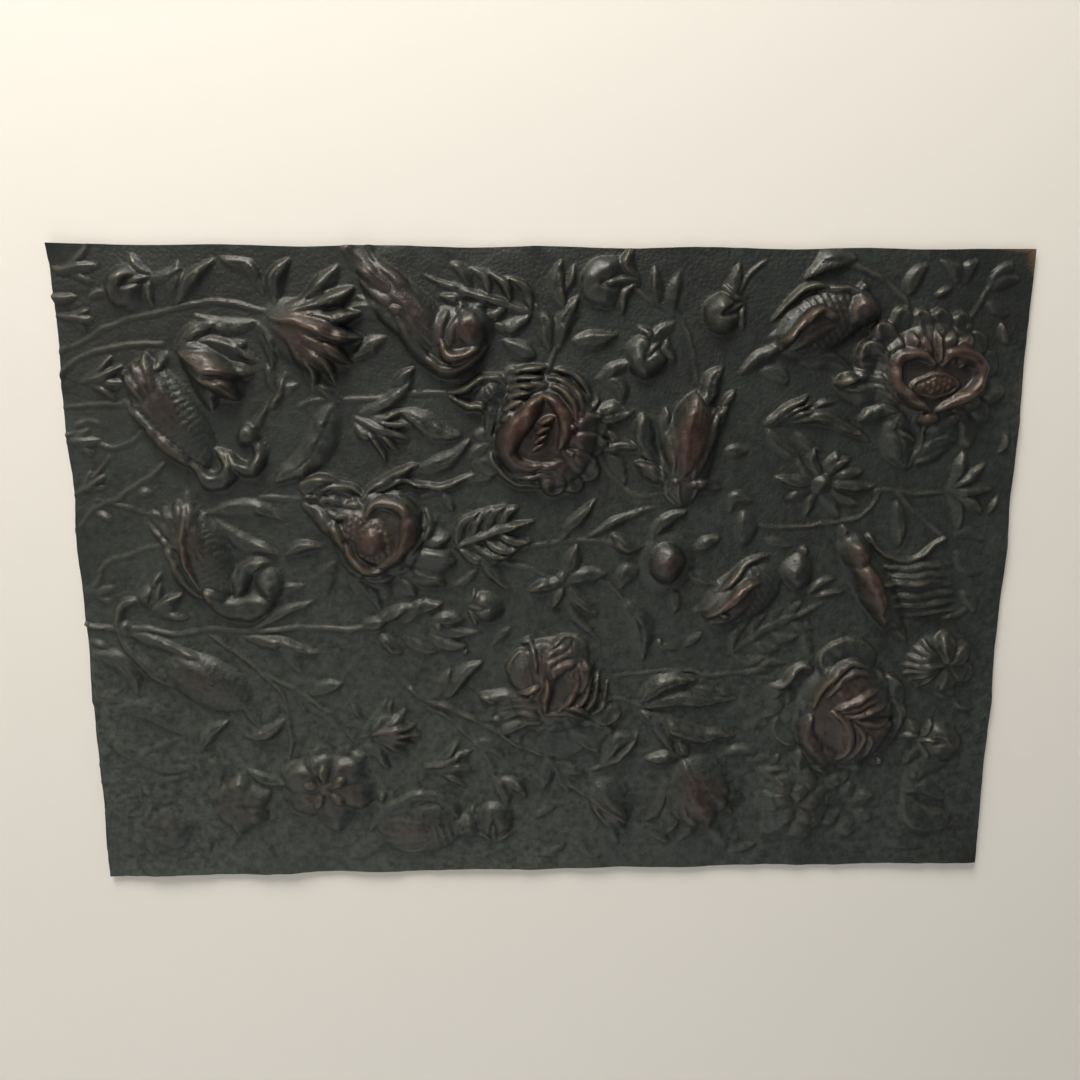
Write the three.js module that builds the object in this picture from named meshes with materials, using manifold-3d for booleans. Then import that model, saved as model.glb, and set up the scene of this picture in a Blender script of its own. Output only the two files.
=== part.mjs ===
// Wall plaque beaten from one sheet of copper: flowers, fruit, leaves and birds in relief on a plain ground.
// Millimetres. X across, Z up. The relief faces -Y and the back lies in y = 0, its middle at the origin.
import * as THREE from "three";
import { mergeVertices } from "three/addons/utils/BufferGeometryUtils.js";
import Module from "manifold-3d";

const WIDTH = 310; // sheet across
const HEIGHT = 450; // sheet up
const SHEET = 1.4; // thickness of the metal
const EDGE_WAVE = 0.8; // how far the hand-cut edge wanders
const EDGE_WAVE_PITCH = 74; // length of one wander
const EDGE_STEPS = 10; // straight pieces along each edge
const ROOT = SHEET / 2; // how deep each raised form is rooted in the sheet
const WALL = 1.5; // metal left over a hollow
const HOLLOW_LEAST = 9; // a swelling this wide or more is hollow behind
const TALLEST = 40; // nothing stands further forward than this
const FACET_SLACK = 0.7; // facets flatter than this are joined
const SHORTEST_LEAF = 24; // a leaf or petal shorter than this is too small to show from a step away
const THINNEST_RIDGE = 5; // and so is a fold narrower than this
const MOST_BLADES = 4; // blades that can be told apart in one fan
const LONG_BLADE = 50; // a blade this long bends in four straight pieces
const MIDDLING_BLADE = 32; // this long in three, a shorter one in two
const LARGE_KNOB = 7; // a round form of this radius has as many sides as a swelling
const DOME_SIDES = 8;
const KNOB_SIDES = 6;
const DOME_RING = 0.74; // where a swelling is rounded over, as a share of its radius
const KNOB_RING = 0.64;
const HOLLOW_RING = 0.6;

const THIN = 1.8; // height of a stem's crest over its ground
const LOW = 2.6; // small leaves
const MID = 3.8; // leaves and outer petals
const HIGH = 5.2; // rolled petals
const STALK = 2.4; // width of a stem
const BRANCH = 3.2; // width of a woody branch

// The layout is drawn for a sheet 310 by 450 and spreads with it; round things keep their shape.
const ACROSS = WIDTH / 310;
const UP = HEIGHT / 450;
const SIZE = Math.min(ACROSS, UP);

const wasm = await Module();
wasm.setup();
const rad = THREE.MathUtils.degToRad;

const swells = []; // broad swellings, hollow behind
const forms = []; // everything raised on them, worked out once every swelling is known

// Height of a swelling at a share of its radius.
const cap = (share) => (share >= 1 ? 0 : Math.pow(1 - share * share, 0.7));

// Height of the swellings under a point.
function groundAt(x, z) {
  let top = 0;
  for (const s of swells) {
    const c = Math.cos(s.turn),
      n = Math.sin(s.turn),
      u = ((x - s.x) * c + (z - s.z) * n) / s.rx,
      v = (-(x - s.x) * n + (z - s.z) * c) / s.rz;
    top = Math.max(top, s.h * cap(Math.hypot(u, v)));
  }
  return top;
}

// A closed surface through rings of points; a ring of one point is a tip.
function loft(rings, closed = false) {
  const points = [],
    faces = [],
    starts = [];
  for (const ring of rings) {
    starts.push(points.length);
    points.push(...ring);
  }
  const pairs = closed ? rings.length : rings.length - 1;
  for (let i = 0; i < pairs; i++) {
    const j = (i + 1) % rings.length,
      a = rings[i].length,
      b = rings[j].length,
      k = Math.max(a, b);
    for (let m = 0; m < k; m++) {
      const p = starts[i] + (m % a),
        q = starts[i] + ((m + 1) % a),
        r = starts[j] + (m % b),
        s = starts[j] + ((m + 1) % b);
      if (a > 1) faces.push([p, q, r]);
      if (b > 1) faces.push([a > 1 ? q : p, s, r]);
    }
  }
  if (!closed)
    for (const [i, flip] of [
      [0, true],
      [rings.length - 1, false],
    ])
      for (let m = 1; m < rings[i].length - 1; m++) {
        const f = [starts[i], starts[i] + m, starts[i] + m + 1];
        faces.push(flip ? f.reverse() : f);
      }
  return { points, faces };
}

// The surface as a solid, turned the right way out.
function solid({ points, faces }) {
  const g = new THREE.BufferGeometry();
  g.setAttribute(
    "position",
    new THREE.Float32BufferAttribute(points.flat(), 3),
  );
  g.setIndex(faces.flat());
  const whole = mergeVertices(g, 1e-4),
    at = whole.attributes.position.array,
    tri = Array.from(whole.index.array);
  const make = (list) =>
    new wasm.Manifold(
      new wasm.Mesh({
        numProp: 3,
        vertProperties: new Float32Array(at),
        triVerts: new Uint32Array(list),
      }),
    );
  const made = make(tri);
  if (made.volume() > 0) return made;
  const turned = [];
  for (let i = 0; i < tri.length; i += 3)
    turned.push(tri[i], tri[i + 2], tri[i + 1]);
  return make(turned);
}

// One cross-section of a raised form at (x, z) in the layout, looking along (dx, dz), its foot in the sheet.
function section(x, z, dx, dz, half, h) {
  const px = x * ACROSS,
    pz = z * UP,
    top = -(SHEET + groundAt(px, pz) + h),
    l = Math.hypot(dx * ACROSS, dz * UP),
    nx = (-dz * UP) / l,
    nz = (dx * ACROSS) / l,
    at = (s, y) => [px + nx * s, y, pz + nz * s];
  const foot = -(SHEET - ROOT);
  return [at(-half, foot), at(0, top), at(half, foot)];
}

// The cross-sections along a form; a tipped one comes to a point at both ends.
function along(stations, tipped) {
  const rings = stations.map((s) => section(...s));
  if (tipped)
    for (const end of [0, rings.length - 1]) {
      const [x, z] = stations[end];
      rings[end] = [[x * ACROSS, -(SHEET - ROOT), z * UP]];
    }
  return rings;
}

// A smooth line through points given as x, z, x, z ...
function line(at, steps) {
  const points = [];
  for (let i = 0; i < at.length; i += 2)
    points.push(new THREE.Vector2(at[i], at[i + 1]));
  const curve = new THREE.SplineCurve(points);
  const out = [];
  for (let i = 0; i <= steps; i++) {
    const t = i / steps,
      p = curve.getPoint(t),
      d = curve.getTangent(t);
    out.push([p.x, p.y, d.x, d.y, t]);
  }
  return out;
}

// A broad swelling of the sheet, pushed out from behind.
function boss(x, z, rx, rz, turn, h) {
  swells.push({ x: x * ACROSS, z: z * UP, rx: rx * SIZE, rz: rz * SIZE, turn: rad(turn), h: h * SIZE });
}

// A rounded dome on an oval foot at depth base, with one ring of corners between its foot and its top.
function dome(x, z, rx, rz, turn, base, h, sides, shoulder) {
  const c = Math.cos(turn),
    n = Math.sin(turn),
    ring = (share, y) =>
      Array.from({ length: sides }, (_, i) => {
        const a = (2 * Math.PI * i) / sides,
          u = rx * share * Math.cos(a),
          v = rz * share * Math.sin(a);
        return [x + u * c - v * n, y, z + u * n + v * c];
      });
  return loft([
    ring(1, -base),
    ring(shoulder, -(base + h * cap(shoulder))),
    [[x, -(base + h), z]],
  ]);
}

// A small round form: a fruit, a bud, a head.
function knob(x, z, rx, rz, turn, h) {
  const foot = SHEET - ROOT,
    px = x * ACROSS,
    pz = z * UP,
    sides = Math.max(rx, rz) > LARGE_KNOB ? DOME_SIDES : KNOB_SIDES;
  forms.push(() => {
    const top = SHEET + groundAt(px, pz) + h;
    return dome(px, pz, rx * SIZE, rz * SIZE, rad(turn), foot, top - foot, sides, KNOB_RING);
  });
}

// A bed of seeds: the low cushion they sit on.
function seeds(x, z, rx, rz, turn) {
  knob(x, z, rx, rz, turn, LOW);
}

// A stem of even width.
function stem(width, h, ...at) {
  const points = line(at, Math.max(at.length / 2 - 1, 2));
  forms.push(() =>
    loft(along(points.map(([x, z, dx, dz]) => [x, z, dx, dz, width / 2, h]), false)),
  );
}

// A ridge that fades at both ends: the rolled lip of a petal, a neck, a fold.
function ridge(width, h, ...at) {
  if (width * SIZE < THINNEST_RIDGE) return;
  const points = line(at, Math.max(2, Math.ceil(at.length / 4)));
  forms.push(() =>
    loft(
      along(
        points.map(([x, z, dx, dz, t]) => {
          const swell = Math.sqrt(Math.sin(Math.PI * Math.min(Math.max(t, 0), 1)));
          return [x, z, dx, dz, (width / 2) * SIZE * swell, h * (0.5 + 0.5 * swell)];
        }),
        true,
      ),
    ),
  );
}

const LEAF_FULL = 0.85; // below 1 a blade is broadest before its middle, above 1 past it
const PETAL_FULL = 1.25;
const CUP_FULL = 1.7;

// A blade from its base to its tip; bend is how far its middle is drawn aside, in lengths.
function blade(x0, z0, x1, z1, width, bend, h, fullness) {
  const dx = x1 - x0,
    dz = z1 - z0,
    length = Math.hypot(dx, dz);
  if (length * SIZE < SHORTEST_LEAF) return;
  const mx = (x0 + x1) / 2 - dz * bend,
    mz = (z0 + z1) / 2 + dx * bend;
  const pieces = length > LONG_BLADE ? 4 : length > MIDDLING_BLADE ? 3 : 2;
  const points = line([x0, z0, mx, mz, x1, z1], pieces);
  forms.push(() =>
    loft(
      along(
        points.map(([x, z, ex, ez, t]) => {
          const full = Math.pow(Math.sin(Math.PI * Math.pow(t, fullness)), 0.8);
          return [x, z, ex, ez, (width / 2) * SIZE * (full || 0), h * (0.55 + 0.45 * (full || 0))];
        }),
        true,
      ),
    ),
  );
}

function leaf(x0, z0, x1, z1, width, bend, h) {
  blade(x0, z0, x1, z1, width, bend, h, LEAF_FULL);
}

function petal(x0, z0, x1, z1, width, bend, h) {
  blade(x0, z0, x1, z1, width, bend, h, PETAL_FULL);
}

// A cupped petal, broadest near its end.
function cup(x0, z0, x1, z1, width, bend, h) {
  blade(x0, z0, x1, z1, width, bend, h, CUP_FULL);
}

// Folds side by side, from the one that runs a to b to the one that runs c to d.
function folds(ax, az, bx, bz, cx, cz, dx, dz, n, width, bend, h) {
  for (let i = 0; i < n; i++) {
    const t = i / (n - 1),
      x0 = ax + (cx - ax) * t,
      z0 = az + (cz - az) * t,
      x1 = bx + (dx - bx) * t,
      z1 = bz + (dz - bz) * t;
    ridge(width, h, x0, z0, (x0 + x1) / 2 - (z1 - z0) * bend, (z0 + z1) / 2 + (x1 - x0) * bend, x1, z1);
  }
}

// A raised ring, round a pod or an eye.
function ring(x, z, rx, rz, turn, width, h) {
  const c = Math.cos(rad(turn)),
    n = Math.sin(rad(turn)),
    count = Math.max(rx, rz) > 10 ? 10 : 8;
  const stations = Array.from({ length: count }, (_, i) => {
    const a = (2 * Math.PI * i) / count,
      u = rx * Math.cos(a),
      v = rz * Math.sin(a),
      du = -rx * Math.sin(a),
      dv = rz * Math.cos(a),
      l = Math.hypot(du, dv);
    const dx = (du * c - dv * n) / l,
      dz = (du * n + dv * c) / l;
    return [x + u * c - v * n, z + u * n + v * c, dx, dz, (width / 2) * SIZE, h];
  });
  forms.push(() => loft(along(stations, false), true));
}

// Petals or blades opening from one base about a direction.
function fan(x, z, dir, length, spread, blades, width, h) {
  const count = Math.min(blades, MOST_BLADES);
  for (let i = 0; i < count; i++) {
    const s = count > 1 ? i / (count - 1) - 0.5 : 0,
      a = rad(dir + spread * s),
      l = length * (1 - 0.5 * s * s),
      r = i % 2 ? 0.3 * length : 0.12 * length; // every other one springs from behind
    const c = Math.cos(a),
      n = Math.sin(a);
    petal(x + r * c, z + r * n, x + l * c, z + l * n, width, -0.3 * s, h * (1 - 0.5 * Math.abs(s)));
  }
}

// A round bud held by three sepals; dir is where it points.
function bud(x, z, r, dir) {
  const c = Math.cos(rad(dir)),
    s = Math.sin(rad(dir));
  knob(x, z, r, r, 0, Math.min(0.6 * r * SIZE, HIGH));
  fan(x - 1.5 * r * c, z - 1.5 * r * s, dir, 1.7 * r, 110, 3, 0.5 * r, Math.min(0.5 * r * SIZE, HIGH));
}

// A leaf cut into lobes: a midrib and pairs of blades along it.
function lobed(x0, z0, x1, z1, n, width, h) {
  const dx = x1 - x0,
    dz = z1 - z0,
    a = Math.atan2(dz, dx);
  leaf(x0, z0, x1, z1, width * 0.34, 0.03, h);
  for (let i = 0; i < n; i++) {
    const t = 0.05 + (0.7 * i) / n,
      l = width * (1.35 - 0.75 * t);
    for (const side of [-1, 1]) {
      const b = a + side * rad(34);
      const x = x0 + dx * t,
        z = z0 + dz * t;
      leaf(x, z, x + l * Math.cos(b), z + l * Math.sin(b), width * 0.36, side * 0.16, h);
    }
  }
}

// Long feathers lying side by side.
function plume(x0, z0, x1, z1, n, width, h) {
  const l = Math.hypot(x1 - x0, z1 - z0),
    nx = -(z1 - z0) / l,
    nz = (x1 - x0) / l;
  for (let i = 0; i < n; i++) {
    const s = (i - (n - 1) / 2) * width * 0.75,
      back = 1 - 0.08 * i;
    const tipX = x0 + (x1 - x0) * back + nx * s,
      tipZ = z0 + (z1 - z0) * back + nz * s;
    leaf(x0 + nx * s * 0.5, z0 + nz * s * 0.5, tipX, tipZ, width, 0, h);
  }
}

// A bird's body with its folded wing.
function body(x, z, length, width, turn, h) {
  const c = Math.cos(rad(turn)),
    s = Math.sin(rad(turn));
  boss(x, z, length / 2, width / 2, turn, h);
  const fore = 0.22 * length,
    aft = 0.52 * length;
  plume(x + fore * c, z + fore * s, x - aft * c, z - aft * s, 2, width * 0.36, LOW);
}

// A bird's head, its eye side plain, with the beak along dir.
function head(x, z, r, dir, beak) {
  const c = Math.cos(rad(dir)),
    s = Math.sin(rad(dir));
  knob(x, z, r, r * 0.85, dir, HIGH);
  leaf(x + 0.5 * r * c, z + 0.5 * r * s, x + (r + beak) * c, z + (r + beak) * s, r * 0.8, 0, MID);
}

// The whole design, bottom left (-155, -225) to top right (155, 225).
function design() {
  // Swellings of the flowers and birds, beaten up first.
  boss(-96, 179, 25, 27, 0, 7);
  boss(-71, -2, 27, 24, 0, 7.5);
  boss(54, 2, 25, 23, 0, 6.5);
  boss(71, 148, 28, 25, 0, 8);
  boss(-21, -83, 22, 22, 0, 7.5);
  boss(-115, -112, 22, 15, 60, 5);
  boss(-62, 66, 28, 13, -12, 6);
  boss(-99, -156, 18, 9, 50, 5);
  boss(106, -112, 17, 24, 0, 4.5);
  boss(111, 76, 19, 16, 0, 5.5);
  boss(119, 127, 20, 17, 0, 4);
  boss(44, 195, 15, 15, 0, 4);
  boss(116, -156, 14, 13, 0, 3.5);
  boss(118, 31, 15, 11, 20, 3.5);

  // Top left: peony with an open seed pod, its stem and the leaves of the corner.
  cup(-103, 186, -127, 193, 13, 0, MID);
  cup(-104, 180, -129, 182, 13, 0, MID);
  cup(-104, 176, -129, 172, 12, 0, MID);
  cup(-104, 170, -129, 163, 13, 0.05, MID);
  petal(-92, 162, -94, 134, 18, 0, HIGH);
  petal(-83, 164, -90, 138, 13, -0.1, MID);
  leaf(-80, 192, -55, 174, 15, 0.08, MID);
  leaf(-80, 166, -53, 171, 15, -0.08, MID);
  knob(-77, 178, 4, 5, 0, MID);
  stem(STALK, LOW, -73, 178, -66, 177, -54, 172);
  ring(-93, 179, 5, 11, 0, 2.2, LOW);
  seeds(-93, 179, 4, 10, 0);
  ridge(8, HIGH, -102, 177, -107, 172, -107, 164, -101, 159, -93, 160, -86, 168, -81, 179);
  ridge(8, HIGH, -102, 180, -108, 185, -107, 194, -101, 200, -93, 200, -86, 191, -81, 179);
  stem(STALK, THIN, -120, 168, -131, 166, -139, 158, -145, 146, -147, 134);
  leaf(-148, 141, -140, 117, 8, -0.15, MID);
  stem(STALK, THIN, -121, 193, -129, 199, -139, 205);

  // Parrot below the peony, wing and long tail to the lower right.
  body(-122, 127, 48, 27, 117, 5.5);
  head(-127, 146, 9, 185, 4);
  ridge(5, MID, -122, 103, -131, 111, -137, 122, -137, 136, -133, 146);
  ridge(6, HIGH, -124, 133, -127, 124, -118, 114, -109, 104, -101, 89);
  leaf(-112, 110, -98, 88, 8, -0.05, LOW);

  // Cut leaf and star flower, upper middle.
  leaf(-73, 103, -58, 122, 9, -0.1, LOW);
  leaf(-78, 120, -77, 144, 5, 0.1, MID);
  leaf(-77, 116, -71, 150, 5, 0.12, MID);
  leaf(-76, 108, -65, 154, 8, 0.15, MID);
  leaf(-74, 103, -89, 123, 5, 0.05, MID);
  leaf(-103, 116, -98, 144, 8, 0.15, LOW);
  stem(STALK, THIN, -41, 197, -41, 176, -42, 157);
  stem(STALK, THIN, -21, 192, -31, 180, -41, 168);
  leaf(-47, 132, -50, 107, 8, 0.05, MID);
  leaf(-46, 133, -45, 158, 7, 0, MID);
  knob(-46, 131, 5, 5, 0, MID);
  stem(STALK, THIN, -41, 160, -30, 150, -26, 130, -25, 100);
  knob(-25, 95, 9, 5, 0, MID);

  // Small flowers along the top.
  bud(87, 201, 10, 90);
  cup(113, 180, 132, 206, 15, -0.15, MID);
  leaf(111, 180, 118, 206, 10, 0.1, MID);
  leaf(112, 182, 98, 206, 9, 0.15, LOW);
  leaf(134, 172, 146, 198, 9, -0.1, LOW);

  // Bird in flight with a raised wing, holding a twig.
  boss(4, 159, 27, 9, 33, 5);
  boss(6, 184, 15, 17, 0, 2.2);
  folds(-6, 162, -6, 199, 20, 170, 16, 204, 6, 5, 0, LOW);
  ridge(5, MID, 3, 160, 2, 178, 2, 195);
  ridge(12, HIGH, -16, 147, -4, 153, 12, 160, 29, 169);
  head(-15, 149, 9, 215, 5);
  stem(BRANCH, MID, -20, 193, -12, 184, -10, 173, -14, 162, -22, 155);

  // Great rose, upper right.
  cup(62, 150, 31, 147, 31, 0, MID);
  cup(68, 156, 60, 179, 22, 0.1, MID);
  cup(76, 152, 86, 176, 20, 0, MID);
  cup(66, 142, 47, 166, 24, -0.1, LOW);
  ridge(6, HIGH, 68, 131, 58, 134, 50, 140, 44, 150, 47, 161, 54, 169, 62, 171);
  ridge(5, MID, 60, 138, 51, 146, 48, 155, 51, 165);
  ridge(5, HIGH, 69, 143, 68, 152, 66, 160, 62, 170);
  ridge(6, MID, 61, 172, 67, 176, 74, 177, 81, 174);
  ridge(5, MID, 70, 151, 73, 158, 74, 165, 71, 171);
  ridge(6, HIGH, 67, 139, 71, 146, 80, 149, 89, 149, 96, 144);
  ridge(10, HIGH, 69, 131, 77, 128, 86, 131, 93, 136, 99, 143);
  petal(66, 130, 54, 109, 16, 0.1, MID);
  ridge(6, HIGH, 54, 109, 54, 117, 49, 122, 46, 128, 49, 133);
  stem(STALK, THIN, 51, 112, 49, 90, 48, 68, 49, 34);

  // Perched bird and the cut leaf beside it.
  body(9, 94, 44, 27, 122, 5.5);
  head(-3, 121, 9, 165, 4);
  ridge(5, HIGH, -12, 108, -8, 99, -1, 91, 6, 82);
  ridge(6, HIGH, 2, 104, 3, 96, 11, 87, 19, 76);
  knob(18, 84, 2, 2, 0, MID);
  lobed(40, 88, 10, 142, 4, 15, LOW);

  // Lily, middle left, opening to the left.
  petal(-52, 54, -80, 43, 11, 0.1, MID);
  petal(-50, 57, -83, 53, 9, -0.05, HIGH);
  petal(-50, 70, -84, 84, 12, 0.1, MID);
  petal(-48, 68, -83, 77, 9, 0.12, HIGH);
  petal(-48, 62, -91, 68, 20, -0.02, HIGH);
  stem(STALK, THIN, -72, 22, -60, 24, -49, 30, -41, 42, -44, 56);
  stem(STALK, THIN, -94, 69, -110, 66, -127, 57, -133, 44, -139, 34);

  // Buds at the left edge.
  stem(STALK, THIN, -149, 98, -140, 90, -131, 84);
  bud(-125, 80, 9, -60);
  bud(-106, 45, 10, -40);
  bud(-139, 25, 11, -90);

  // Rose, middle left, with its calyx and stem.
  cup(-72, 4, -88, 23, 13, 0.1, LOW);
  cup(-70, 5, -77, 28, 14, 0, MID);
  ridge(5, MID, -68, -27, -57, -27, -47, -15, -44, -4);
  ridge(5, MID, -100, 0, -98, 9, -92, 16, -84, 19);
  ridge(5, HIGH, -96, -2, -94, 6, -88, 13, -80, 16);
  ridge(5, HIGH, -92, 0, -89, 7, -82, 11, -74, 12);
  ridge(7, HIGH, -87, -7, -85, 2, -77, 7, -69, 6, -61, 2);
  ridge(11, HIGH, -89, -3, -80, -10, -72, -18, -62, -21, -55, -13, -53, -3);
  knob(-73, 10, 2, 2, 0, HIGH);
  knob(-80, 14, 2, 2, 0, MID);
  knob(-60, 9, 2, 2, 0, MID);
  knob(-88, -28, 8, 8, 0, MID);
  ridge(5, HIGH, -89, -48, -91, -39, -95, -31, -95, -23, -89, -20);
  stem(STALK, THIN, -89, -48, -90, -64, -87, -84, -86, -102, -82, -117);
  stem(STALK, THIN, -98, -2, -112, 4, -124, 12);
  leaf(-108, 4, -134, 14, 9, 0.1, MID);

  // Cut leaf curling down the left edge and the pheasant.
  lobed(-124, -6, -144, -60, 4, 16, MID);
  boss(-122, -62, 34, 12, 45, 4.5);
  boss(-112, -45, 17, 16, 0, 5);
  body(-124, -62, 40, 20, 45, 5);
  plume(-112, -52, -149, -92, 4, 8, LOW);
  ridge(7, MID, -128, -72, -111, -64, -100, -51, -102, -38, -113, -28);
  ridge(6, HIGH, -116, -52, -106, -46, -108, -36, -118, -30);
  head(-119, -36, 10, 205, 4);
  leaf(-134, -72, -152, -96, 10, -0.05, MID);

  // Fruit and its leaves, middle.
  boss(-8, 57, 15, 14, 0, 3);
  knob(-8, 57, 9, 9, 0, HIGH);
  leaf(-19, 48, -34, 67, 9, 0.1, HIGH);
  stem(STALK, THIN, -18, 30, -18, 5, -15, -20, -15, -46);
  leaf(-19, 16, -37, 52, 5, 0.05, LOW);
  leaf(-18, 4, -40, 22, 7, 0.05, MID);
  leaf(10, 35, 42, 46, 13, 0.1, MID);
  stem(STALK, THIN, 12, 36, 4, 30, -2, 20);

  // Star lily and the cut leaf at the foot of its stem.
  knob(0, 8, 5, 5, 0, HIGH);
  leaf(0, 8, 18, 24, 9, -0.1, MID);
  leaf(2, 8, 32, 25, 6, -0.15, LOW);
  stem(STALK, THIN, 0, 0, -8, -16, -14, -36);
  lobed(-15, -48, -29, -6, 4, 18, HIGH);

  // Rose, middle right.
  cup(70, 8, 84, 32, 18, -0.1, MID);
  cup(66, 6, 68, 35, 15, -0.1, MID);
  petal(72, -2, 79, -25, 13, -0.1, MID);
  petal(68, -4, 71, -33, 13, -0.1, MID);
  petal(63, -4, 59, -35, 17, 0.05, HIGH);
  cup(58, -8, 34, -15, 18, 0.05, MID);
  cup(60, 0, 29, -4, 17, 0, MID);
  cup(62, 4, 27, 8, 22, -0.05, HIGH);
  cup(62, 4, 38, 14, 18, -0.05, HIGH);
  ridge(5, HIGH, 55, -17, 54, -12, 52, -6);
  ridge(5, HIGH, 31, -16, 30, -10, 37, -8, 50, -8);
  ridge(6, HIGH, 39, -3, 35, 2, 31, 8, 28, 10);
  ridge(8, HIGH, 49, 0, 45, 3, 42, 8, 40, 13);
  ridge(5, HIGH, 42, 12, 51, 13, 60, 9, 68, 2);
  ridge(5, HIGH, 47, -2, 57, -3, 68, -1);
  ridge(5, HIGH, 64, 6, 64, 14, 69, 22);
  ridge(5, MID, 68, -2, 67, 7, 71, 17, 79, 28);
  ridge(5, MID, 69, -4, 68, -12, 71, -24);

  // Three-leaved shoot above it.
  leaf(64, 44, 52, 76, 12, 0.1, HIGH);
  leaf(66, 44, 62, 95, 9, 0.02, MID);
  leaf(68, 44, 82, 95, 12, -0.1, HIGH);
  leaf(70, 50, 93, 64, 8, 0, MID);
  stem(STALK, THIN, 66, 47, 62, 36, 60, 26);

  // Pink opening to the right, and the leaf arching under it.
  fan(93, 68, 14, 44, 86, 6, 15, HIGH);
  ridge(5, HIGH, 80, 44, 88, 42, 94, 34, 100, 20);
  plume(104, 18, 138, 42, 3, 8, LOW);

  // Branch running down from the right edge to the middle.
  stem(BRANCH, MID, 128, 40, 110, 14, 92, -4, 76, -30, 64, -54, 56, -68);
  stem(STALK, LOW, 118, -24, 95, -30, 76, -46, 64, -60);
  fan(97, -66, 96, 30, 60, 4, 7, HIGH);
  leaf(60, -54, 42, -32, 10, 0.05, HIGH);
  bud(126, -28, 10, 180);

  // Bird with folded wings at the right edge.
  body(130, -66, 46, 28, 93, 5);
  ridge(8, MID, 133, -92, 121, -84, 114, -68, 117, -52, 129, -42);
  head(129, -42, 8, 160, 4);
  leaf(134, -82, 146, -104, 9, 0, LOW);

  // Pomegranate flower, low middle.
  petal(-6, -74, 2, -51, 14, 0.05, MID);
  petal(-12, -70, -8, -46, 15, 0, MID);
  leaf(-8, -100, 15, -83, 11, 0.1, MID);
  cup(-36, -90, -45, -119, 14, -0.1, HIGH);
  cup(-32, -92, -38, -119, 13, 0, HIGH);
  ridge(5, MID, -40, -86, -42, -79, -43, -70);
  ridge(5, HIGH, -38, -88, -44, -81, -48, -73, -48, -63);
  ridge(6, HIGH, -38, -90, -46, -83, -51, -73, -56, -61);
  ridge(5, HIGH, -40, -88, -46, -95, -45, -104, -41, -113);
  ridge(6, HIGH, -36, -90, -39, -102, -37, -113);
  ridge(9, HIGH, -38, -119, -31, -109, -23, -101, -14, -96);
  seeds(-27, -92, 7, 7, 0);
  seeds(-20, -83, 11, 9, 0);
  knob(-20, -84, 7, 6.5, 0, MID);
  ridge(5, MID, -37, -61, -28, -58, -19, -63, -11, -68);
  ridge(5, MID, -4, -75, 1, -83, -2, -91);
  ridge(6, HIGH, -7, -78, -5, -86, -10, -93, -20, -97);
  ridge(9, HIGH, -31, -89, -38, -82, -39, -73, -33, -66, -22, -67, -13, -73, -7, -83);
  stem(STALK, THIN, -38, -112, -39, -130, -37, -146, -33, -164);
  stem(STALK, THIN, -42, -62, -45, -50, -50, -38);
  leaf(-86, -100, -45, -130, 15, 0.1, MID);
  leaf(-52, -64, -68, -38, 10, -0.1, LOW);
  leaf(-82, -70, -69, -42, 12, -0.05, MID);

  // Pink in bud on the left stem.
  knob(-74, -84, 7, 9, 20, MID);
  fan(-79, -94, 66, 30, 60, 5, 6, HIGH);
  leaf(-80, -90, -101, -64, 8, -0.15, MID);

  // Spike of flowers and the bud beside it.
  bud(14, -31, 8, 90);
  knob(25, -62, 8, 8, 0, LOW);
  leaf(22, -74, 12, -52, 10, 0.1, HIGH);
  leaf(25, -60, 27, -34, 7, 0, MID);
  stem(BRANCH, LOW, 24, -90, 25, -115, 25, -145, 25, -175, 24, -205, 25, -226);
  knob(24, -205, 4, 3, 0, MID);
  leaf(24, -146, 11, -113, 7, 0.05, MID);
  leaf(28, -150, 37, -110, 8, 0, HIGH);
  leaf(20, -158, 2, -118, 10, 0.08, LOW);

  // Pink in bud, lower right, on the long bent stem.
  boss(79, -80, 11, 10, 0, 3);
  fan(80, -96, 100, 31, 70, 6, 6, HIGH);
  stem(STALK, LOW, 82, -96, 62, -118, 44, -142, 28, -164);
  stem(STALK, LOW, 98, -131, 78, -130, 60, -132, 44, -142);

  // Pansy and the flower below it, right edge.
  knob(106, -112, 4, 4, 0, MID);
  knob(116, -156, 4, 4, 0, LOW);

  // Fan-petalled tulip, lower left, and its leaves.
  fan(-124, -129, 76, 45, 96, 7, 11, HIGH);
  stem(STALK, THIN, -126, -131, -129, -150, -128, -167, -125, -182, -118, -202, -106, -226);
  leaf(-122, -134, -124, -162, 8, 0.15, LOW);
  leaf(-132, -130, -147, -150, 8, -0.2, LOW);
  leaf(-129, -170, -147, -152, 9, 0.1, MID);

  // Tulip leaning right, beside it.
  fan(-110, -174, 62, 40, 62, 4, 12, HIGH);
  leaf(-110, -173, -104, -134, 8, 0.1, MID);
  leaf(-110, -172, -120, -150, 8, 0.1, MID);
  stem(STALK, THIN, -111, -178, -110, -196, -106, -212, -98, -226);
  bud(-137, -191, 10, -70);

  // Heron with a twig, facing left.
  body(-79, -176, 58, 28, 32, 6);
  ridge(8, MID, -86, -197, -72, -186, -60, -175, -51, -163);
  ridge(10, HIGH, -58, -170, -49, -162, -49, -153, -57, -149, -64, -156);
  ridge(8, HIGH, -63, -150, -56, -146, -52, -140, -58, -135, -69, -139);
  head(-69, -141, 6, 145, 7);
  stem(STALK, THIN, -76, -137, -86, -130, -99, -123);
  stem(STALK, THIN, -83, -188, -84, -206, -84, -223);
  stem(STALK, THIN, -72, -187, -63, -204, -69, -213, -69, -226);

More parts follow.
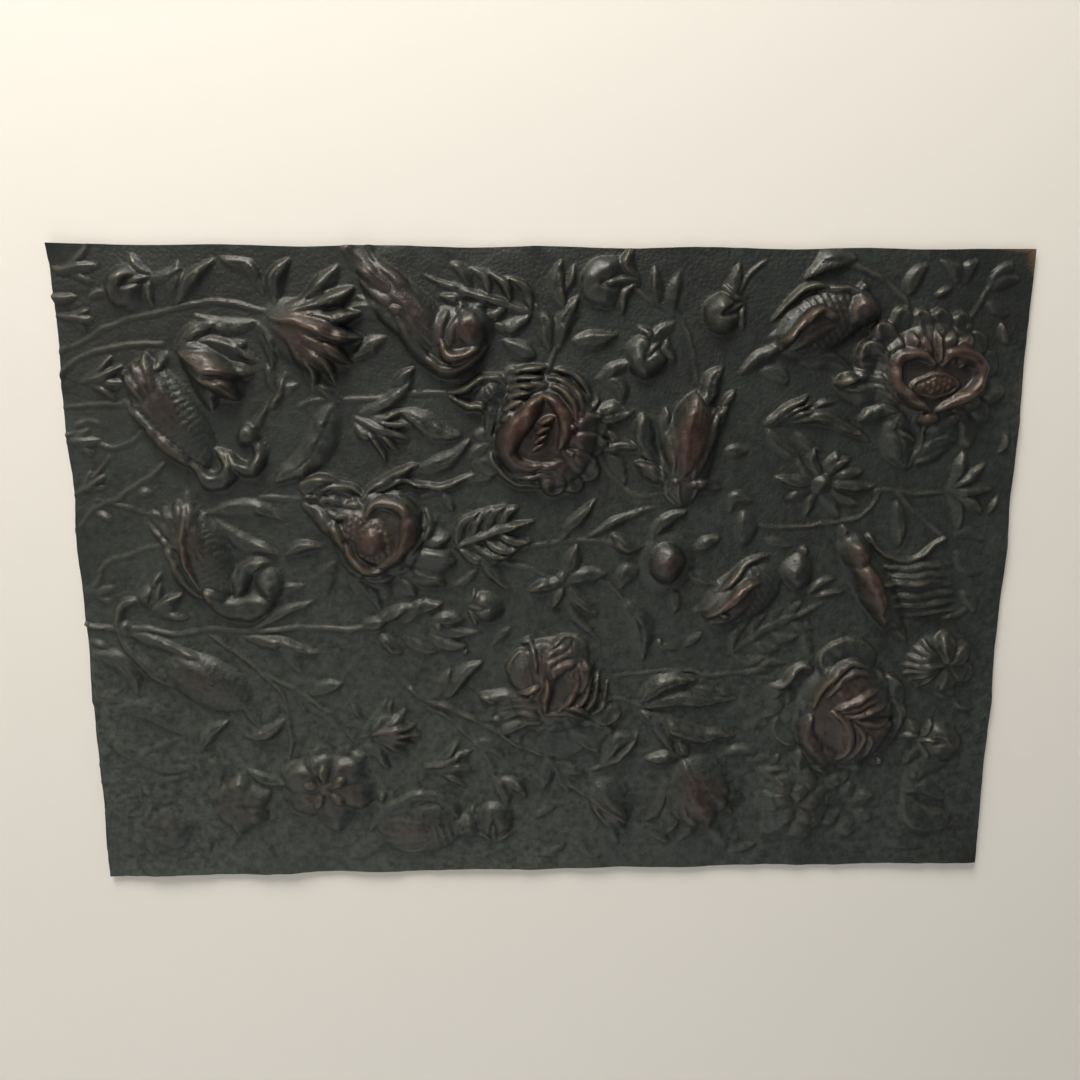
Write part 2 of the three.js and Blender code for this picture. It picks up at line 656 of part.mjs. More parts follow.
  // Heron in the middle, looking back.
  body(-14, -168, 52, 29, 24, 6);
  ridge(7, MID, -28, -190, -14, -181, 0, -175, 10, -165);
  ridge(13, HIGH, 4, -166, 13, -155, 12, -141, 5, -131);
  ridge(9, HIGH, 8, -152, 0, -148, -6, -143, -7, -133);
  knob(2, -135, 8, 7, 0, HIGH);
  stem(STALK, THIN, -16, -176, -15, -194, -10, -210, -4, -216);
  stem(STALK, THIN, -27, -176, -34, -196, -38, -214);
  leaf(-33, -162, -29, -124, 9, 0.1, MID);
  leaf(-31, -160, -12, -128, 9, -0.1, MID);

  // Scaled bird with its neck bent under, right of the main stem.
  body(51, -168, 46, 26, 60, 5);
  ridge(7, MID, 54, -184, 45, -194, 34, -204, 22, -208);
  ridge(6, MID, 24, -209, 13, -206, 9, -196);
  head(7, -193, 6, 150, 8);

  // Plants between the birds and along the foot.
  leaf(26, -204, 38, -170, 8, 0, MID);
  leaf(66, -216, 80, -182, 12, 0.2, MID);
  leaf(78, -220, 96, -178, 10, -0.1, MID);
  stem(STALK, THIN, 95, -226, 93, -200, 89, -170);
  stem(STALK, THIN, 103, -226, 103, -208, 103, -192);
  leaf(88, -176, 70, -160, 9, 0.1, HIGH);
  leaf(36, -222, 58, -202, 12, 0.25, MID);
  bud(129, -193, 12, 90);
  stem(STALK, THIN, -56, -182, -38, -208, -24, -226);

  // Small leaves, beads and tendrils that fill the ground between the larger forms.
  stem(1.8, THIN, -42, -225, -50, -216, -59, -206);
  knob(-44, -191, 2.5, 3.2, 0, LOW);
  stem(1.8, THIN, 58, -126, 70, -120, 88, -113);
  knob(113, -86, 3.4, 2, 0, MID);
  knob(-47, 59, 1.8, 1.8, 0, LOW);
  knob(105, 187, 1.8, 1.8, 0, LOW);
  knob(96, 170, 2, 2.4, 0, LOW);
  knob(24, -54, 2.4, 2.4, 0, MID);
  knob(37, -41, 1.6, 1.6, 0, LOW);
  knob(33, 54, 1.8, 1.8, 0, LOW);
}

// The sheet, its edges a little uneven, as thick as asked from the back forward.
function sheet(thick) {
  const corners = [
      [-WIDTH / 2, -HEIGHT / 2],
      [WIDTH / 2, -HEIGHT / 2],
      [WIDTH / 2, HEIGHT / 2],
      [-WIDTH / 2, HEIGHT / 2],
    ],
    outline = [];
  corners.forEach(([x0, z0], i) => {
    const [x1, z1] = corners[(i + 1) % 4],
      length = Math.hypot(x1 - x0, z1 - z0),
      nx = -(z1 - z0) / length,
      nz = (x1 - x0) / length;
    for (let k = 0; k < EDGE_STEPS; k++) {
      const t = k / EDGE_STEPS,
        wave = 1 - Math.cos((2 * Math.PI * t * length) / EDGE_WAVE_PITCH),
        inward = (EDGE_WAVE / 2) * wave * Math.min(1, 6 * t, 6 * (1 - t)); // none at the corners
      outline.push(new THREE.Vector2(x0 + (x1 - x0) * t + nx * inward, z0 + (z1 - z0) * t + nz * inward));
    }
  });
  const g = new THREE.ExtrudeGeometry(new THREE.Shape(outline), { depth: thick, bevelEnabled: false });
  g.rotateX(Math.PI / 2); // the outline's up becomes Z and the front faces -Y
  const p = g.attributes.position;
  const points = [];
  for (let i = 0; i < p.count; i++) points.push([p.getX(i), p.getY(i), p.getZ(i)]);
  const faces = Array.from({ length: p.count / 3 }, (_, i) => [3 * i, 3 * i + 1, 3 * i + 2]);
  return solid({ points, faces });
}

// The hollow behind a swelling: the same dome, smaller by the metal that is left.
function hollow({ x, z, rx, rz, turn, h }) {
  const deep = SHEET + h - WALL;
  return solid(dome(x, z, rx - 2 * WALL, rz - 2 * WALL, turn, -ROOT, deep + ROOT, DOME_SIDES, HOLLOW_RING));
}

design();
const domes = swells.map(({ x, z, rx, rz, turn, h }) =>
  solid(dome(x, z, rx, rz, turn, SHEET - ROOT, h + ROOT, DOME_SIDES, DOME_RING)),
);
const pieces = [sheet(SHEET), ...domes, ...forms.map((form) => solid(form()))];
const raised = wasm.Manifold.union(pieces).intersect(sheet(TALLEST));
const hollows = swells.filter((s) => Math.min(s.rx, s.rz) >= HOLLOW_LEAST).map(hollow);
const beaten = raised.subtract(wasm.Manifold.union(hollows)).simplify(FACET_SLACK);

const mesh = beaten.getMesh();
const shape = new THREE.BufferGeometry();
shape.setAttribute("position", new THREE.BufferAttribute(mesh.vertProperties, 3));
shape.setIndex(new THREE.BufferAttribute(mesh.triVerts, 1));
shape.computeVertexNormals();

const plaque = new THREE.Group();
const panel = new THREE.Mesh(
  shape,
  new THREE.MeshStandardMaterial({ color: 0x4a4038, roughness: 0.42, metalness: 1, flatShading: true }),
);
panel.name = "relief_panel";
plaque.add(panel);

export default plaque;
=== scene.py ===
# Wall plaque beaten from one copper sheet: flowers, fruit, leaves and birds in relief, under a dark patina.
import math
from functools import partial

import bmesh
import bpy
import numpy as np
from mathutils import Matrix, Vector


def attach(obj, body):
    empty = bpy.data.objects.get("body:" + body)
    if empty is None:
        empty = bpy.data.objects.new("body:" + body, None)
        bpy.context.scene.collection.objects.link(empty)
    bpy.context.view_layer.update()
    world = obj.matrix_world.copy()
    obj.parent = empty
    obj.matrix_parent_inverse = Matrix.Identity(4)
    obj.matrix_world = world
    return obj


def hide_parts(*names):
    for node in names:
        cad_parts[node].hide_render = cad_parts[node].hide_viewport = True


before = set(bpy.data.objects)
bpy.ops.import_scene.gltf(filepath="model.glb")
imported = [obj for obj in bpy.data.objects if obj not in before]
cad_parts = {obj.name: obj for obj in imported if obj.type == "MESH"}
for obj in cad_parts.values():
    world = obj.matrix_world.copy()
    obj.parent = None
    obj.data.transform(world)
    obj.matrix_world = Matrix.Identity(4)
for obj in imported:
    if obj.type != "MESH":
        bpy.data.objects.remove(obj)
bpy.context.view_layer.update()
MM = 0.001

# Camera, in millimetres: close in front, a little to the plaque's left, turned so that its left edge is up.
CAMERA_AT = Vector((-93.6, -405.0, -17.2))
CAMERA_AHEAD = Vector((0.1811, 0.9830, 0.0300))
CAMERA_UP = Vector((-0.9835, 0.1810, 0.0048))
LENS_MM = 28.33  # on a 36 mm sensor


def set_camera():
    """A camera placed and aimed by the vectors above."""
    data = bpy.data.cameras.new("camera")
    data.lens, data.sensor_width, data.clip_start = LENS_MM, 36.0, 0.01
    camera = bpy.data.objects.new("camera", data)
    bpy.context.collection.objects.link(camera)
    back = -CAMERA_AHEAD.normalized()
    right = CAMERA_UP.cross(back).normalized()
    up = back.cross(right)
    camera.matrix_world = Matrix((
        (right.x, up.x, back.x, CAMERA_AT.x * MM),
        (right.y, up.y, back.y, CAMERA_AT.y * MM),
        (right.z, up.z, back.z, CAMERA_AT.z * MM),
        (0, 0, 0, 1),
    ))
    bpy.context.scene.camera = camera


set_camera()

WIDTH, HEIGHT, SHEET = 310.0, 450.0, 1.4  # the sheet in millimetres
EDGE_WAVE, EDGE_WAVE_PITCH = 0.8, 74.0  # how far the hand-cut edge wanders, and how long one wander is
TALLEST = 12.9  # the highest relief over the ground
STEP = 0.5  # spacing of the height field
MARGIN = 3.0  # how far round a form its chased line may reach
FRONT_PITCH, BACK_PITCH = 0.72, 2.5  # spacing of the grids before they are thinned
MOST_FACES = 195000
THIN, LOW, MID, HIGH = 1.8, 2.6, 3.8, 5.2  # crest heights of stems, small leaves, petals and rolled petals
STALK, BRANCH = 2.4, 3.2  # widths of a stem and of a woody branch
LEAF_FULL, PETAL_FULL, CUP_FULL, FEATHER_FULL = (0.85, 0.8), (1.25, 0.7), (1.7, 0.5), (1.1, 0.6)
CHASED, CHASED_WIDE = 0.5, 0.8  # depth and width of the line chased round each form
SIDE = 0.9  # how quickly a form's side rises
FEWEST_POINTS, POINT_PITCH = 9, 1.6  # along a form's middle line
LEAN, LIFT = 0.4, 0.45  # how far a blade turns over to one side, and rises towards its tip
VEIN_PITCH, BARB_PITCH, STRAND_PITCH, LIP_STRAND_PITCH = 2.9, 1.9, 1.9, 2.1  # spacing of the finest lines
SEED_ROW, SEED_PITCH, SEED_HIGH = 2.6, 2.8, 1.5
SCALE_ROW, SCALE_PITCH, SCALE_REACH = 3.0, 3.8, 2.0
EYE = 1.4  # radius of a bird's eye
LOBE_SPREAD = 34  # degrees between a cut leaf's midrib and its lobes

xs = np.arange(-WIDTH / 2, WIDTH / 2 + STEP / 2, STEP)
zs = np.arange(-HEIGHT / 2, HEIGHT / 2 + STEP / 2, STEP)
swelling = np.zeros((len(zs), len(xs)))  # broad forms pushed out from behind
raised = np.zeros_like(swelling)  # stems, leaves and petals worked on them


def heading(degrees):
    """How far a step of one goes across and up in a direction."""
    a = math.radians(degrees)
    return math.cos(a), math.sin(a)


def window(x0, x1, z0, z1):
    """The part of the field round a form, with its coordinates."""
    i0, i1 = np.searchsorted(xs, [x0 - MARGIN, x1 + MARGIN])
    k0, k1 = np.searchsorted(zs, [z0 - MARGIN, z1 + MARGIN])
    gx, gz = np.meshgrid(xs[i0:i1], zs[k0:k1])
    return (slice(k0, k1), slice(i0, i1)), gx, gz


def oval(x, z, rx, rz, turn, beyond=0.0):
    """The part of the field round an oval, coordinates along and across it, and shares of its radius."""
    r = max(rx, rz) + beyond
    part, gx, gz = window(x - r, x + r, z - r, z + r)
    c, s = heading(turn)
    u, v = (gx - x) * c + (gz - z) * s, -(gx - x) * s + (gz - z) * c
    return part, u, v, np.hypot(u / rx, v / rz)


def cap(share):
    """A dome's height at a share of its radius."""
    return np.power(np.clip(1 - share * share, 0, 1), 0.7)


def risen(inside):
    """How far a form's side has risen at a distance in from its edge."""
    return 1 - np.exp(-np.clip(inside, 0, None) / SIDE)


def lay(part, profile, inside):
    """Lay a form over what is there: inside it the higher wins, and a line is chased just outside it.
    inside is the distance in from its edge, negative outside."""
    field = raised[part]
    outside = np.clip(-inside, 0, None)
    groove = CHASED * np.exp(-((outside / CHASED_WIDE) ** 2)) * (outside > 0)
    field[...] = np.where(inside > 0, np.maximum(field * 0.55, profile), np.maximum(field - groove, -CHASED))


def boss(x, z, rx, rz, turn, h):
    """A broad swelling of the sheet, pushed out from behind."""
    part, _, _, share = oval(x, z, rx, rz, turn)
    swelling[part] = np.maximum(swelling[part], h * cap(share))


def knob(x, z, rx, rz, turn, h):
    """A small round form: a fruit, a bud, a head."""
    part, _, _, share = oval(x, z, rx, rz, turn)
    lay(part, h * cap(share), (1 - share) * min(rx, rz))


def seeds(x, z, rx, rz, turn):
    """A bed of seeds: a low cushion with rows of beads."""
    part, u, v, share = oval(x, z, rx, rz, turn)
    row = np.floor(v / SEED_ROW)
    du = (u + SEED_PITCH / 2 * (row % 2)) % SEED_PITCH - SEED_PITCH / 2
    dv = v - (row + 0.5) * SEED_ROW
    bead = np.clip(1 - (du * du + dv * dv) / 1.5, 0, 1) ** 0.6
    lay(part, LOW * 0.35 * cap(share) + SEED_HIGH * bead * (share < 0.92), (1 - share) * min(rx, rz))


def smooth_line(at, count):
    """A smooth line through points given as x, z, x, z ..."""
    p = np.array(at, float).reshape(-1, 2)
    ends = np.vstack([p[0], p, p[-1]])
    out = []
    for t in np.linspace(0, len(p) - 1, count):
        i = min(int(t), len(p) - 2)
        f = t - i
        a, b, c, d = ends[i : i + 4]
        bent = (2 * a - 5 * b + 4 * c - d) * f * f + (3 * b - a - 3 * c + d) * f ** 3
        out.append(0.5 * (2 * b + (c - a) * f + bent))
    return np.array(out)


def ribbon(at, half_at, crest_at, work):
    """Strike a form along a line. half_at gives its half width and crest_at its height at a share of its
    length, and work shapes its section."""
    p = np.array(at, float).reshape(-1, 2)
    run = np.hypot(*np.diff(p, axis=0).T).sum()
    line = smooth_line(at, int(max(FEWEST_POINTS, run / POINT_PITCH)))
    widest = max(half_at(t) for t in np.linspace(0, 1, 9))
    (x0, z0), (x1, z1) = line.min(axis=0) - widest, line.max(axis=0) + widest
    part, gx, gz = window(x0, x1, z0, z1)
    best = np.full(gx.shape, 1e9)
    t_at = np.zeros_like(gx)
    side = np.zeros_like(gx)
    steps = np.hypot(*np.diff(line, axis=0).T)
    reach = np.concatenate([[0], np.cumsum(steps)])
    length = max(reach[-1], 1e-6)
    for (ax, az), (bx, bz), r0, step in zip(line[:-1], line[1:], reach, steps):
        dx, dz = (bx - ax) / max(step, 1e-6), (bz - az) / max(step, 1e-6)
        s = np.clip((gx - ax) * dx + (gz - az) * dz, 0, step)
        off_x, off_z = gx - ax - s * dx, gz - az - s * dz
        d = np.hypot(off_x, off_z)
        near = d < best
        best = np.where(near, d, best)
        t_at = np.where(near, (r0 + s) / length, t_at)
        side = np.where(near, np.sign(dx * off_z - dz * off_x) * d, side)
    half = half_at(t_at)
    inside = half - best
    share = np.clip(best / np.maximum(half, 1e-3), 0, 1)
    lay(part, crest_at(t_at) * work(share, t_at, side, half, length) * risen(inside), inside)


def rounded(s, t, side, half, length):
    """A stem or a rolled lip: round across."""
    return 0.2 + 0.8 * np.sqrt(1 - s * s)


def stem(width, h, *at):
    """A stem of even width."""
    ribbon(at, lambda t: width / 2, lambda t: h, rounded)


def stalk(*at):
    """A thin stem."""
    stem(STALK, THIN, *at)


def ridge(width, h, *at):
    """A ridge that fades at both ends: the rolled lip of a petal, a neck, a fold."""
    def swell(t):
        return np.sqrt(np.clip(np.sin(np.pi * t), 0, 1))

    ribbon(at, lambda t: width / 2 * swell(t), lambda t: h * (0.5 + 0.5 * swell(t)), rounded)


def blade(x0, z0, x1, z1, width, bend, h, work, fullness):
    """The outline of leaves, petals and feathers: fullness is where it is broadest and how blunt it is."""
    broad, blunt = fullness
    dx, dz = x1 - x0, z1 - z0
    at = (x0, z0, (x0 + x1) / 2 - dz * bend, (z0 + z1) / 2 + dx * bend, x1, z1)
    lean = LEAN * math.sin(0.37 * x0 + 0.53 * z1)  # no two turn over alike

    def full(t):
        return np.power(np.clip(np.sin(np.pi * np.power(np.clip(t, 0, 1), broad)), 0, 1), blunt)

    def turned_over(share, t, side, half, length):
        tilt = 1 + lean * side / np.maximum(half, 0.5)
        return work(share, t, side, half, length) * tilt * (1 - LIFT / 2 + LIFT * t)

    ribbon(at, lambda t: width / 2 * full(t), lambda t: h * (0.55 + 0.45 * full(t)), turned_over)


def veined(s, t, side, half, length):
    """A leaf: two slopes from a sunk midrib, with side veins."""
    rib = np.exp(-((side / 0.55) ** 2)) * (half > 2.2)
    veins = 0.5 + 0.5 * np.cos(2 * np.pi * (t * length - 1.3 * np.abs(side)) / VEIN_PITCH)
    return 0.24 + 0.76 * (1 - s ** 1.6) - 0.34 * rib - 0.17 * veins * np.clip((half - 2.2) / 2, 0, 1)


def folded(s, t, side, half, length):
    """A petal: a crease off its middle, falling to thin edges, with a few folds running from its base."""
    across = side / np.maximum(half, 0.3)
    crease = 0.3 * np.cos(2.2 * t + length)
    fall = np.where(across > crease, (1 - across) / (1 - crease), (1 + across) / (1 + crease))
    folds = np.cos(2 * np.pi * side / np.maximum(half, 2.0)) * (1 - t) * (half > 3)
    wavy = side + 0.6 * np.sin(5 * t)
    strands = np.cos(2 * np.pi * wavy / STRAND_PITCH) * np.clip((half - 1.8) / 2, 0, 1)
    return 0.14 + 0.86 * np.power(np.clip(fall, 0, 1), 0.75) - 0.12 * folds - 0.09 * strands


def barbed(s, t, side, half, length):
    """A feather: a shaft and slanting barbs."""
    barbs = 0.5 + 0.5 * np.cos(2 * np.pi * (t * length + 1.1 * np.abs(side)) / BARB_PITCH)
    shaft = np.exp(-((side / 0.5) ** 2))
    return 0.5 + 0.3 * (1 - s * s) + 0.14 * shaft - 0.16 * barbs


def rolled(s, t, side, half, length):
    """A cupped petal: hollow within, its lip rolled over."""
    lip = np.exp(-(((1 - s) * half - 1.5) / 1.7) ** 2)
    folds = np.cos(2 * np.pi * side / np.maximum(half * 0.7, 2.0)) * (1 - t)
    strands = np.cos(2 * np.pi * side / LIP_STRAND_PITCH) * np.clip((half - 2.5) / 2, 0, 1)
    return 0.56 + 0.44 * lip * (0.2 + 0.8 * t) + 0.25 * (1 - s * s) * (1 - t) - 0.12 * folds - 0.05 * strands


# Leaves, petals and cupped petals, each from its base to its tip. bend is how far the middle is drawn aside,
# in lengths.
leaf = partial(blade, work=veined, fullness=LEAF_FULL)
petal = partial(blade, work=folded, fullness=PETAL_FULL)
cup = partial(blade, work=rolled, fullness=CUP_FULL)


def folds(ax, az, bx, bz, cx, cz, dx, dz, n, width, bend, h):
    """Folds side by side, from the one that runs a to b to the one that runs c to d."""
    for i in range(n):
        t = i / (n - 1)
        x0, z0 = ax + (cx - ax) * t, az + (cz - az) * t
        x1, z1 = bx + (dx - bx) * t, bz + (dz - bz) * t
        ridge(width, h, x0, z0, (x0 + x1) / 2 - (z1 - z0) * bend, (z0 + z1) / 2 + (x1 - x0) * bend, x1, z1)


def dent(x, z, rx, rz, turn, depth):
    """A hollow pressed back in, as in the mouth of a flower."""
    part, _, _, share = oval(x, z, rx, rz, turn)
    well = depth * cap(share)
    raised[part] = np.where(well > 0, np.minimum(raised[part], 2.0) - well, raised[part])


def ring(x, z, rx, rz, turn, width, h):
    """A raised ring round a seed pod."""
    part, u, v, share = oval(x, z, rx, rz, turn, width)
    off = np.abs(share - 1) * np.hypot(u, v) / np.maximum(share, 1e-3)
    inside = width / 2 - off
    s = np.clip(off / (width / 2), 0, 1)
    lay(part, h * (0.25 + 0.75 * np.sqrt(1 - s * s)) * risen(inside), inside)


def whorl(x, z, r0, r1, start, end, n, width, h):
    """Petals standing round a centre between two angles."""
    gaps = n if end - start >= 360 else n - 1
    for i in range(n):
        c, s = heading(start + (end - start) * i / gaps)
        r = r1 * 0.92 if i % 2 else r1
        petal(x + r0 * c, z + r0 * s, x + r * c, z + r * s, width, 0, h)


def fan(x, z, way, length, spread, n, width, h):
    """Petals or blades opening from one base about a direction, the middle ones struck last."""
    for i in sorted(range(n), key=lambda i: -abs(i - (n - 1) / 2)):
        off = i / (n - 1) - 0.5
        c, s = heading(way + spread * off)
        reach = length * (1 - 0.5 * off * off)
        petal(x, z, x + reach * c, z + reach * s, width, -0.3 * off, h * (1 - 0.5 * abs(off)))


def bud(x, z, r, way):
    """A round bud held by three sepals; way is where it points."""
    c, s = heading(way)
    knob(x, z, r, r, 0, min(0.6 * r, 6))
    fan(x - 1.5 * r * c, z - 1.5 * r * s, way, 1.7 * r, 110, 3, 0.5 * r, min(0.5 * r, HIGH))


def lobed(x0, z0, x1, z1, n, width, h):
    """A leaf cut into lobes: a midrib and pairs of blades along it."""
    dx, dz = x1 - x0, z1 - z0
    way = math.degrees(math.atan2(dz, dx))
    for i in reversed(range(n)):
        t = 0.05 + 0.7 * i / n
        reach = width * (1.35 - 0.75 * t)
        for side in (-1, 1):
            c, s = heading(way + side * LOBE_SPREAD)
            x, z = x0 + dx * t, z0 + dz * t
            leaf(x, z, x + reach * c, z + reach * s, width * 0.36, side * 0.16, h)
    leaf(x0, z0, x1, z1, width * 0.34, 0.03, h)


def plume(x0, z0, x1, z1, n, width, h):
    """Long feathers lying side by side."""
    length = math.hypot(x1 - x0, z1 - z0)
    nx, nz = -(z1 - z0) / length, (x1 - x0) / length
    for i in range(n):
        s = (i - (n - 1) / 2) * width * 0.75
        back = 1 - 0.08 * i
        tip_x, tip_z = x0 + (x1 - x0) * back + nx * s, z0 + (z1 - z0) * back + nz * s
        blade(x0 + nx * s * 0.5, z0 + nz * s * 0.5, tip_x, tip_z, width, 0, h, barbed, FEATHER_FULL)


def scales(x, z, rx, rz, turn):
    """Small overlapping feathers, punched in rows."""
    part, u, v, share = oval(x, z, rx, rz, turn)
    row = np.floor(u / SCALE_ROW)
    dv = (v + SCALE_PITCH / 2 * (row % 2)) % SCALE_PITCH - SCALE_PITCH / 2
    du = u - row * SCALE_ROW
    edge = np.clip(1 - np.abs(np.hypot(du, dv * 0.9) - SCALE_REACH) / 0.7, 0, 1)
    raised[part] += np.where(share < 0.95, 1.1 * edge - 0.2, 0)


def body(x, z, length, width, turn, h):
    """A bird's body, its breast scaled, with its folded wing."""
    c, s = heading(turn)
    boss(x, z, length / 2, width / 2, turn, h)
    scales(x, z, length * 0.48, width * 0.46, turn)
    fore, aft = 0.1 * length, 0.52 * length
    plume(x + fore * c, z + fore * s, x - aft * c, z - aft * s, 3, width * 0.26, LOW * 0.8)


def eye(x, z):
    """A small eye: a fine raised ring round a pit."""
    part, gx, gz = window(x - EYE, x + EYE, z - EYE, z + EYE)
    d = np.hypot(gx - x, gz - z)
    raised[part] += 0.25 * np.exp(-(((d - EYE) / 0.5) ** 2)) - 0.4 * np.exp(-((d / (0.5 * EYE)) ** 2))


def head(x, z, r, way, beak):
    """A bird's head with an eye, and the beak along way."""
    c, s = heading(way)
    tip = r + beak
    blade(x + 0.5 * r * c, z + 0.5 * r * s, x + tip * c, z + tip * s, r * 0.8, 0, MID, folded, LEAF_FULL)
    knob(x, z, r, r * 0.85, way, HIGH)
    eye(x + 0.2 * r * c, z + 0.2 * r * s)


# The layout, from (-155, -225) at the bottom left to (155, 225), each form laid over those before it.

# Swellings of the flowers and birds, beaten up first.
boss(-96, 179, 25, 27, 0, 7)
boss(-71, -2, 27, 24, 0, 7.5)
boss(54, 2, 25, 23, 0, 6.5)
boss(71, 148, 28, 25, 0, 8)
boss(-21, -83, 22, 22, 0, 7.5)
boss(-115, -112, 22, 15, 60, 5)
boss(-62, 66, 28, 13, -12, 6)
boss(-99, -156, 18, 9, 50, 5)
boss(106, -112, 17, 24, 0, 4.5)
boss(111, 76, 19, 16, 0, 5.5)
boss(119, 127, 20, 17, 0, 4)
boss(44, 195, 15, 15, 0, 4)
boss(116, -156, 14, 13, 0, 3.5)
boss(118, 31, 15, 11, 20, 3.5)

# Top left: peony with an open seed pod, its stem and the leaves of the corner.
petal(-93, 196, -92, 217, 16, 0, LOW)
petal(-87, 194, -76, 209, 13, 0.05, LOW)
petal(-82, 190, -64, 200, 12, 0.1, LOW)
cup(-98, 195, -106, 210, 13, 0, LOW)
cup(-101, 190, -118, 202, 14, 0, MID)
cup(-103, 186, -127, 193, 13, 0, MID)
cup(-104, 180, -129, 182, 13, 0, MID)
cup(-104, 176, -129, 172, 12, 0, MID)
cup(-104, 170, -129, 163, 13, 0.05, MID)
cup(-103, 167, -121, 153, 13, 0.1, HIGH)
cup(-100, 164, -111, 146, 14, 0.15, HIGH)
petal(-98, 160, -104, 143, 9, 0, MID)
petal(-92, 162, -94, 134, 18, 0, HIGH)
petal(-83, 164, -90, 138, 13, -0.1, MID)
petal(-80, 166, -76, 147, 10, -0.1, LOW)
petal(-104, 171, -119, 167, 9, 0.05, HIGH)
petal(-104, 174, -117, 173, 8, 0, MID)
petal(-104, 184, -119, 187, 9, 0, MID)
petal(-104, 189, -117, 196, 9, 0, HIGH)
ridge(4.6, HIGH, -120, 179, -111, 180, -103, 178)
leaf(-80, 192, -55, 174, 15, 0.08, MID)
leaf(-80, 166, -53, 171, 15, -0.08, MID)
leaf(-58, 174, -68, 195, 8, 0.1, MID)
ridge(4, MID, -72, 164, -68, 171, -66, 175)
knob(-77, 178, 4, 5, 0, MID)
stem(STALK, LOW, -73, 178, -66, 177, -54, 172)
dent(-94, 179, 10, 19, 0, 3)
ring(-93, 179, 5, 11, 0, 2.2, LOW)
seeds(-93, 179, 4, 10, 0)
ridge(8, HIGH, -102, 177, -107, 172, -107, 164, -101, 159, -93, 160, -86, 168, -81, 179)
ridge(8, HIGH, -102, 180, -108, 185, -107, 194, -101, 200, -93, 200, -86, 191, -81, 179)
stalk(-120, 168, -131, 166, -139, 158, -145, 146, -147, 134)
leaf(-148, 141, -140, 117, 8, -0.15, MID)
stalk(-121, 193, -129, 199, -139, 205)
leaf(-137, 204, -150, 214, 7, 0, LOW)
leaf(-136, 205, -143, 219, 6, 0.1, LOW)
leaf(-131, 203, -127, 217, 6, 0, LOW)
leaf(-138, 192, -150, 198, 7, 0.2, LOW)
leaf(-138, 188, -150, 181, 7, -0.2, LOW)
leaf(-135, 166, -149, 175, 8, 0.15, LOW)

# Parrot below the peony, wing and long tail to the lower right.
body(-122, 127, 48, 27, 117, 5.5)
head(-127, 146, 9, 185, 4)
ridge(5, MID, -122, 103, -131, 111, -137, 122, -137, 136, -133, 146)
ridge(6, HIGH, -124, 133, -127, 124, -118, 114, -109, 104, -101, 89)
leaf(-112, 110, -98, 88, 8, -0.05, LOW)
leaf(-100, 98, -93, 112, 8, 0.1, LOW)

# Cut leaf and star flower, upper middle.
leaf(-73, 103, -58, 122, 9, -0.1, LOW)
leaf(-71, 117, -61, 133, 6, -0.1, LOW)
leaf(-80, 122, -85, 137, 4, 0.1, LOW)
leaf(-78, 120, -77, 144, 5, 0.1, MID)
leaf(-77, 116, -71, 150, 5, 0.12, MID)
leaf(-76, 108, -65, 154, 8, 0.15, MID)
leaf(-74, 101, -83, 113, 4, 0, MID)
leaf(-75, 107, -81, 128, 4, 0.05, MID)
leaf(-74, 105, -85, 125, 4, 0.05, MID)
leaf(-74, 103, -89, 123, 5, 0.05, MID)
leaf(-103, 116, -98, 144, 8, 0.15, LOW)
stalk(-41, 197, -41, 176, -42, 157)
stalk(-21, 192, -31, 180, -41, 168)
leaf(-47, 132, -50, 107, 8, 0.05, MID)
leaf(-47, 131, -61, 118, 6, 0.1, LOW)
leaf(-48, 131, -64, 128, 6, 0.1, MID)
leaf(-48, 132, -62, 138, 6, 0, MID)
leaf(-48, 132, -58, 145, 6, 0.1, MID)
leaf(-47, 133, -53, 152, 6, 0, MID)
leaf(-46, 133, -45, 158, 7, 0, MID)
leaf(-45, 132, -36, 150, 6, -0.1, LOW)
leaf(-44, 131, -29, 141, 6, 0, LOW)
leaf(-44, 130, -31, 123, 6, 0, LOW)
leaf(-45, 129, -38, 114, 6, 0, LOW)
knob(-46, 131, 5, 5, 0, MID)
stalk(-41, 160, -30, 150, -26, 130, -25, 100)
knob(-25, 95, 9, 5, 0, MID)

# Small flowers along the top.
fan(-43, 190, 92, 25, 130, 5, 7, MID)
leaf(-22, 197, -17, 214, 6, 0.1, LOW)
leaf(-12, 199, -2, 215, 7, -0.1, LOW)
leaf(6, 204, 20, 212, 8, 0.1, LOW)
fan(44, 201, -90, 24, 80, 7, 5, MID)
cup(45, 196, 27, 198, 10, 0, MID)
cup(45, 196, 34, 210, 11, 0, MID)
cup(45, 196, 51, 213, 12, 0, MID)
cup(45, 196, 64, 203, 11, 0, MID)
bud(87, 201, 10, 90)
leaf(83, 188, 75, 181, 7, 0, LOW)
leaf(91, 190, 99, 183, 7, 0, LOW)
cup(113, 180, 132, 206, 15, -0.15, MID)
leaf(111, 180, 118, 206, 10, 0.1, MID)
leaf(112, 182, 98, 206, 9, 0.15, LOW)
leaf(134, 172, 146, 198, 9, -0.1, LOW)

# Bird in flight with a raised wing, holding a twig.
boss(4, 159, 27, 9, 33, 5)
boss(6, 184, 15, 17, 0, 2.2)
folds(-6, 162, -6, 199, 20, 170, 16, 204, 6, 5, 0, LOW)
ridge(5, MID, 3, 160, 2, 178, 2, 195)
ridge(12, HIGH, -16, 147, -4, 153, 12, 160, 29, 169)
leaf(14, 164, 33, 178, 10, 0, LOW)
head(-15, 149, 9, 215, 5)
stem(BRANCH, MID, -20, 193, -12, 184, -10, 173, -14, 162, -22, 155)
leaf(-37, 167, -16, 172, 9, 0.05, MID)

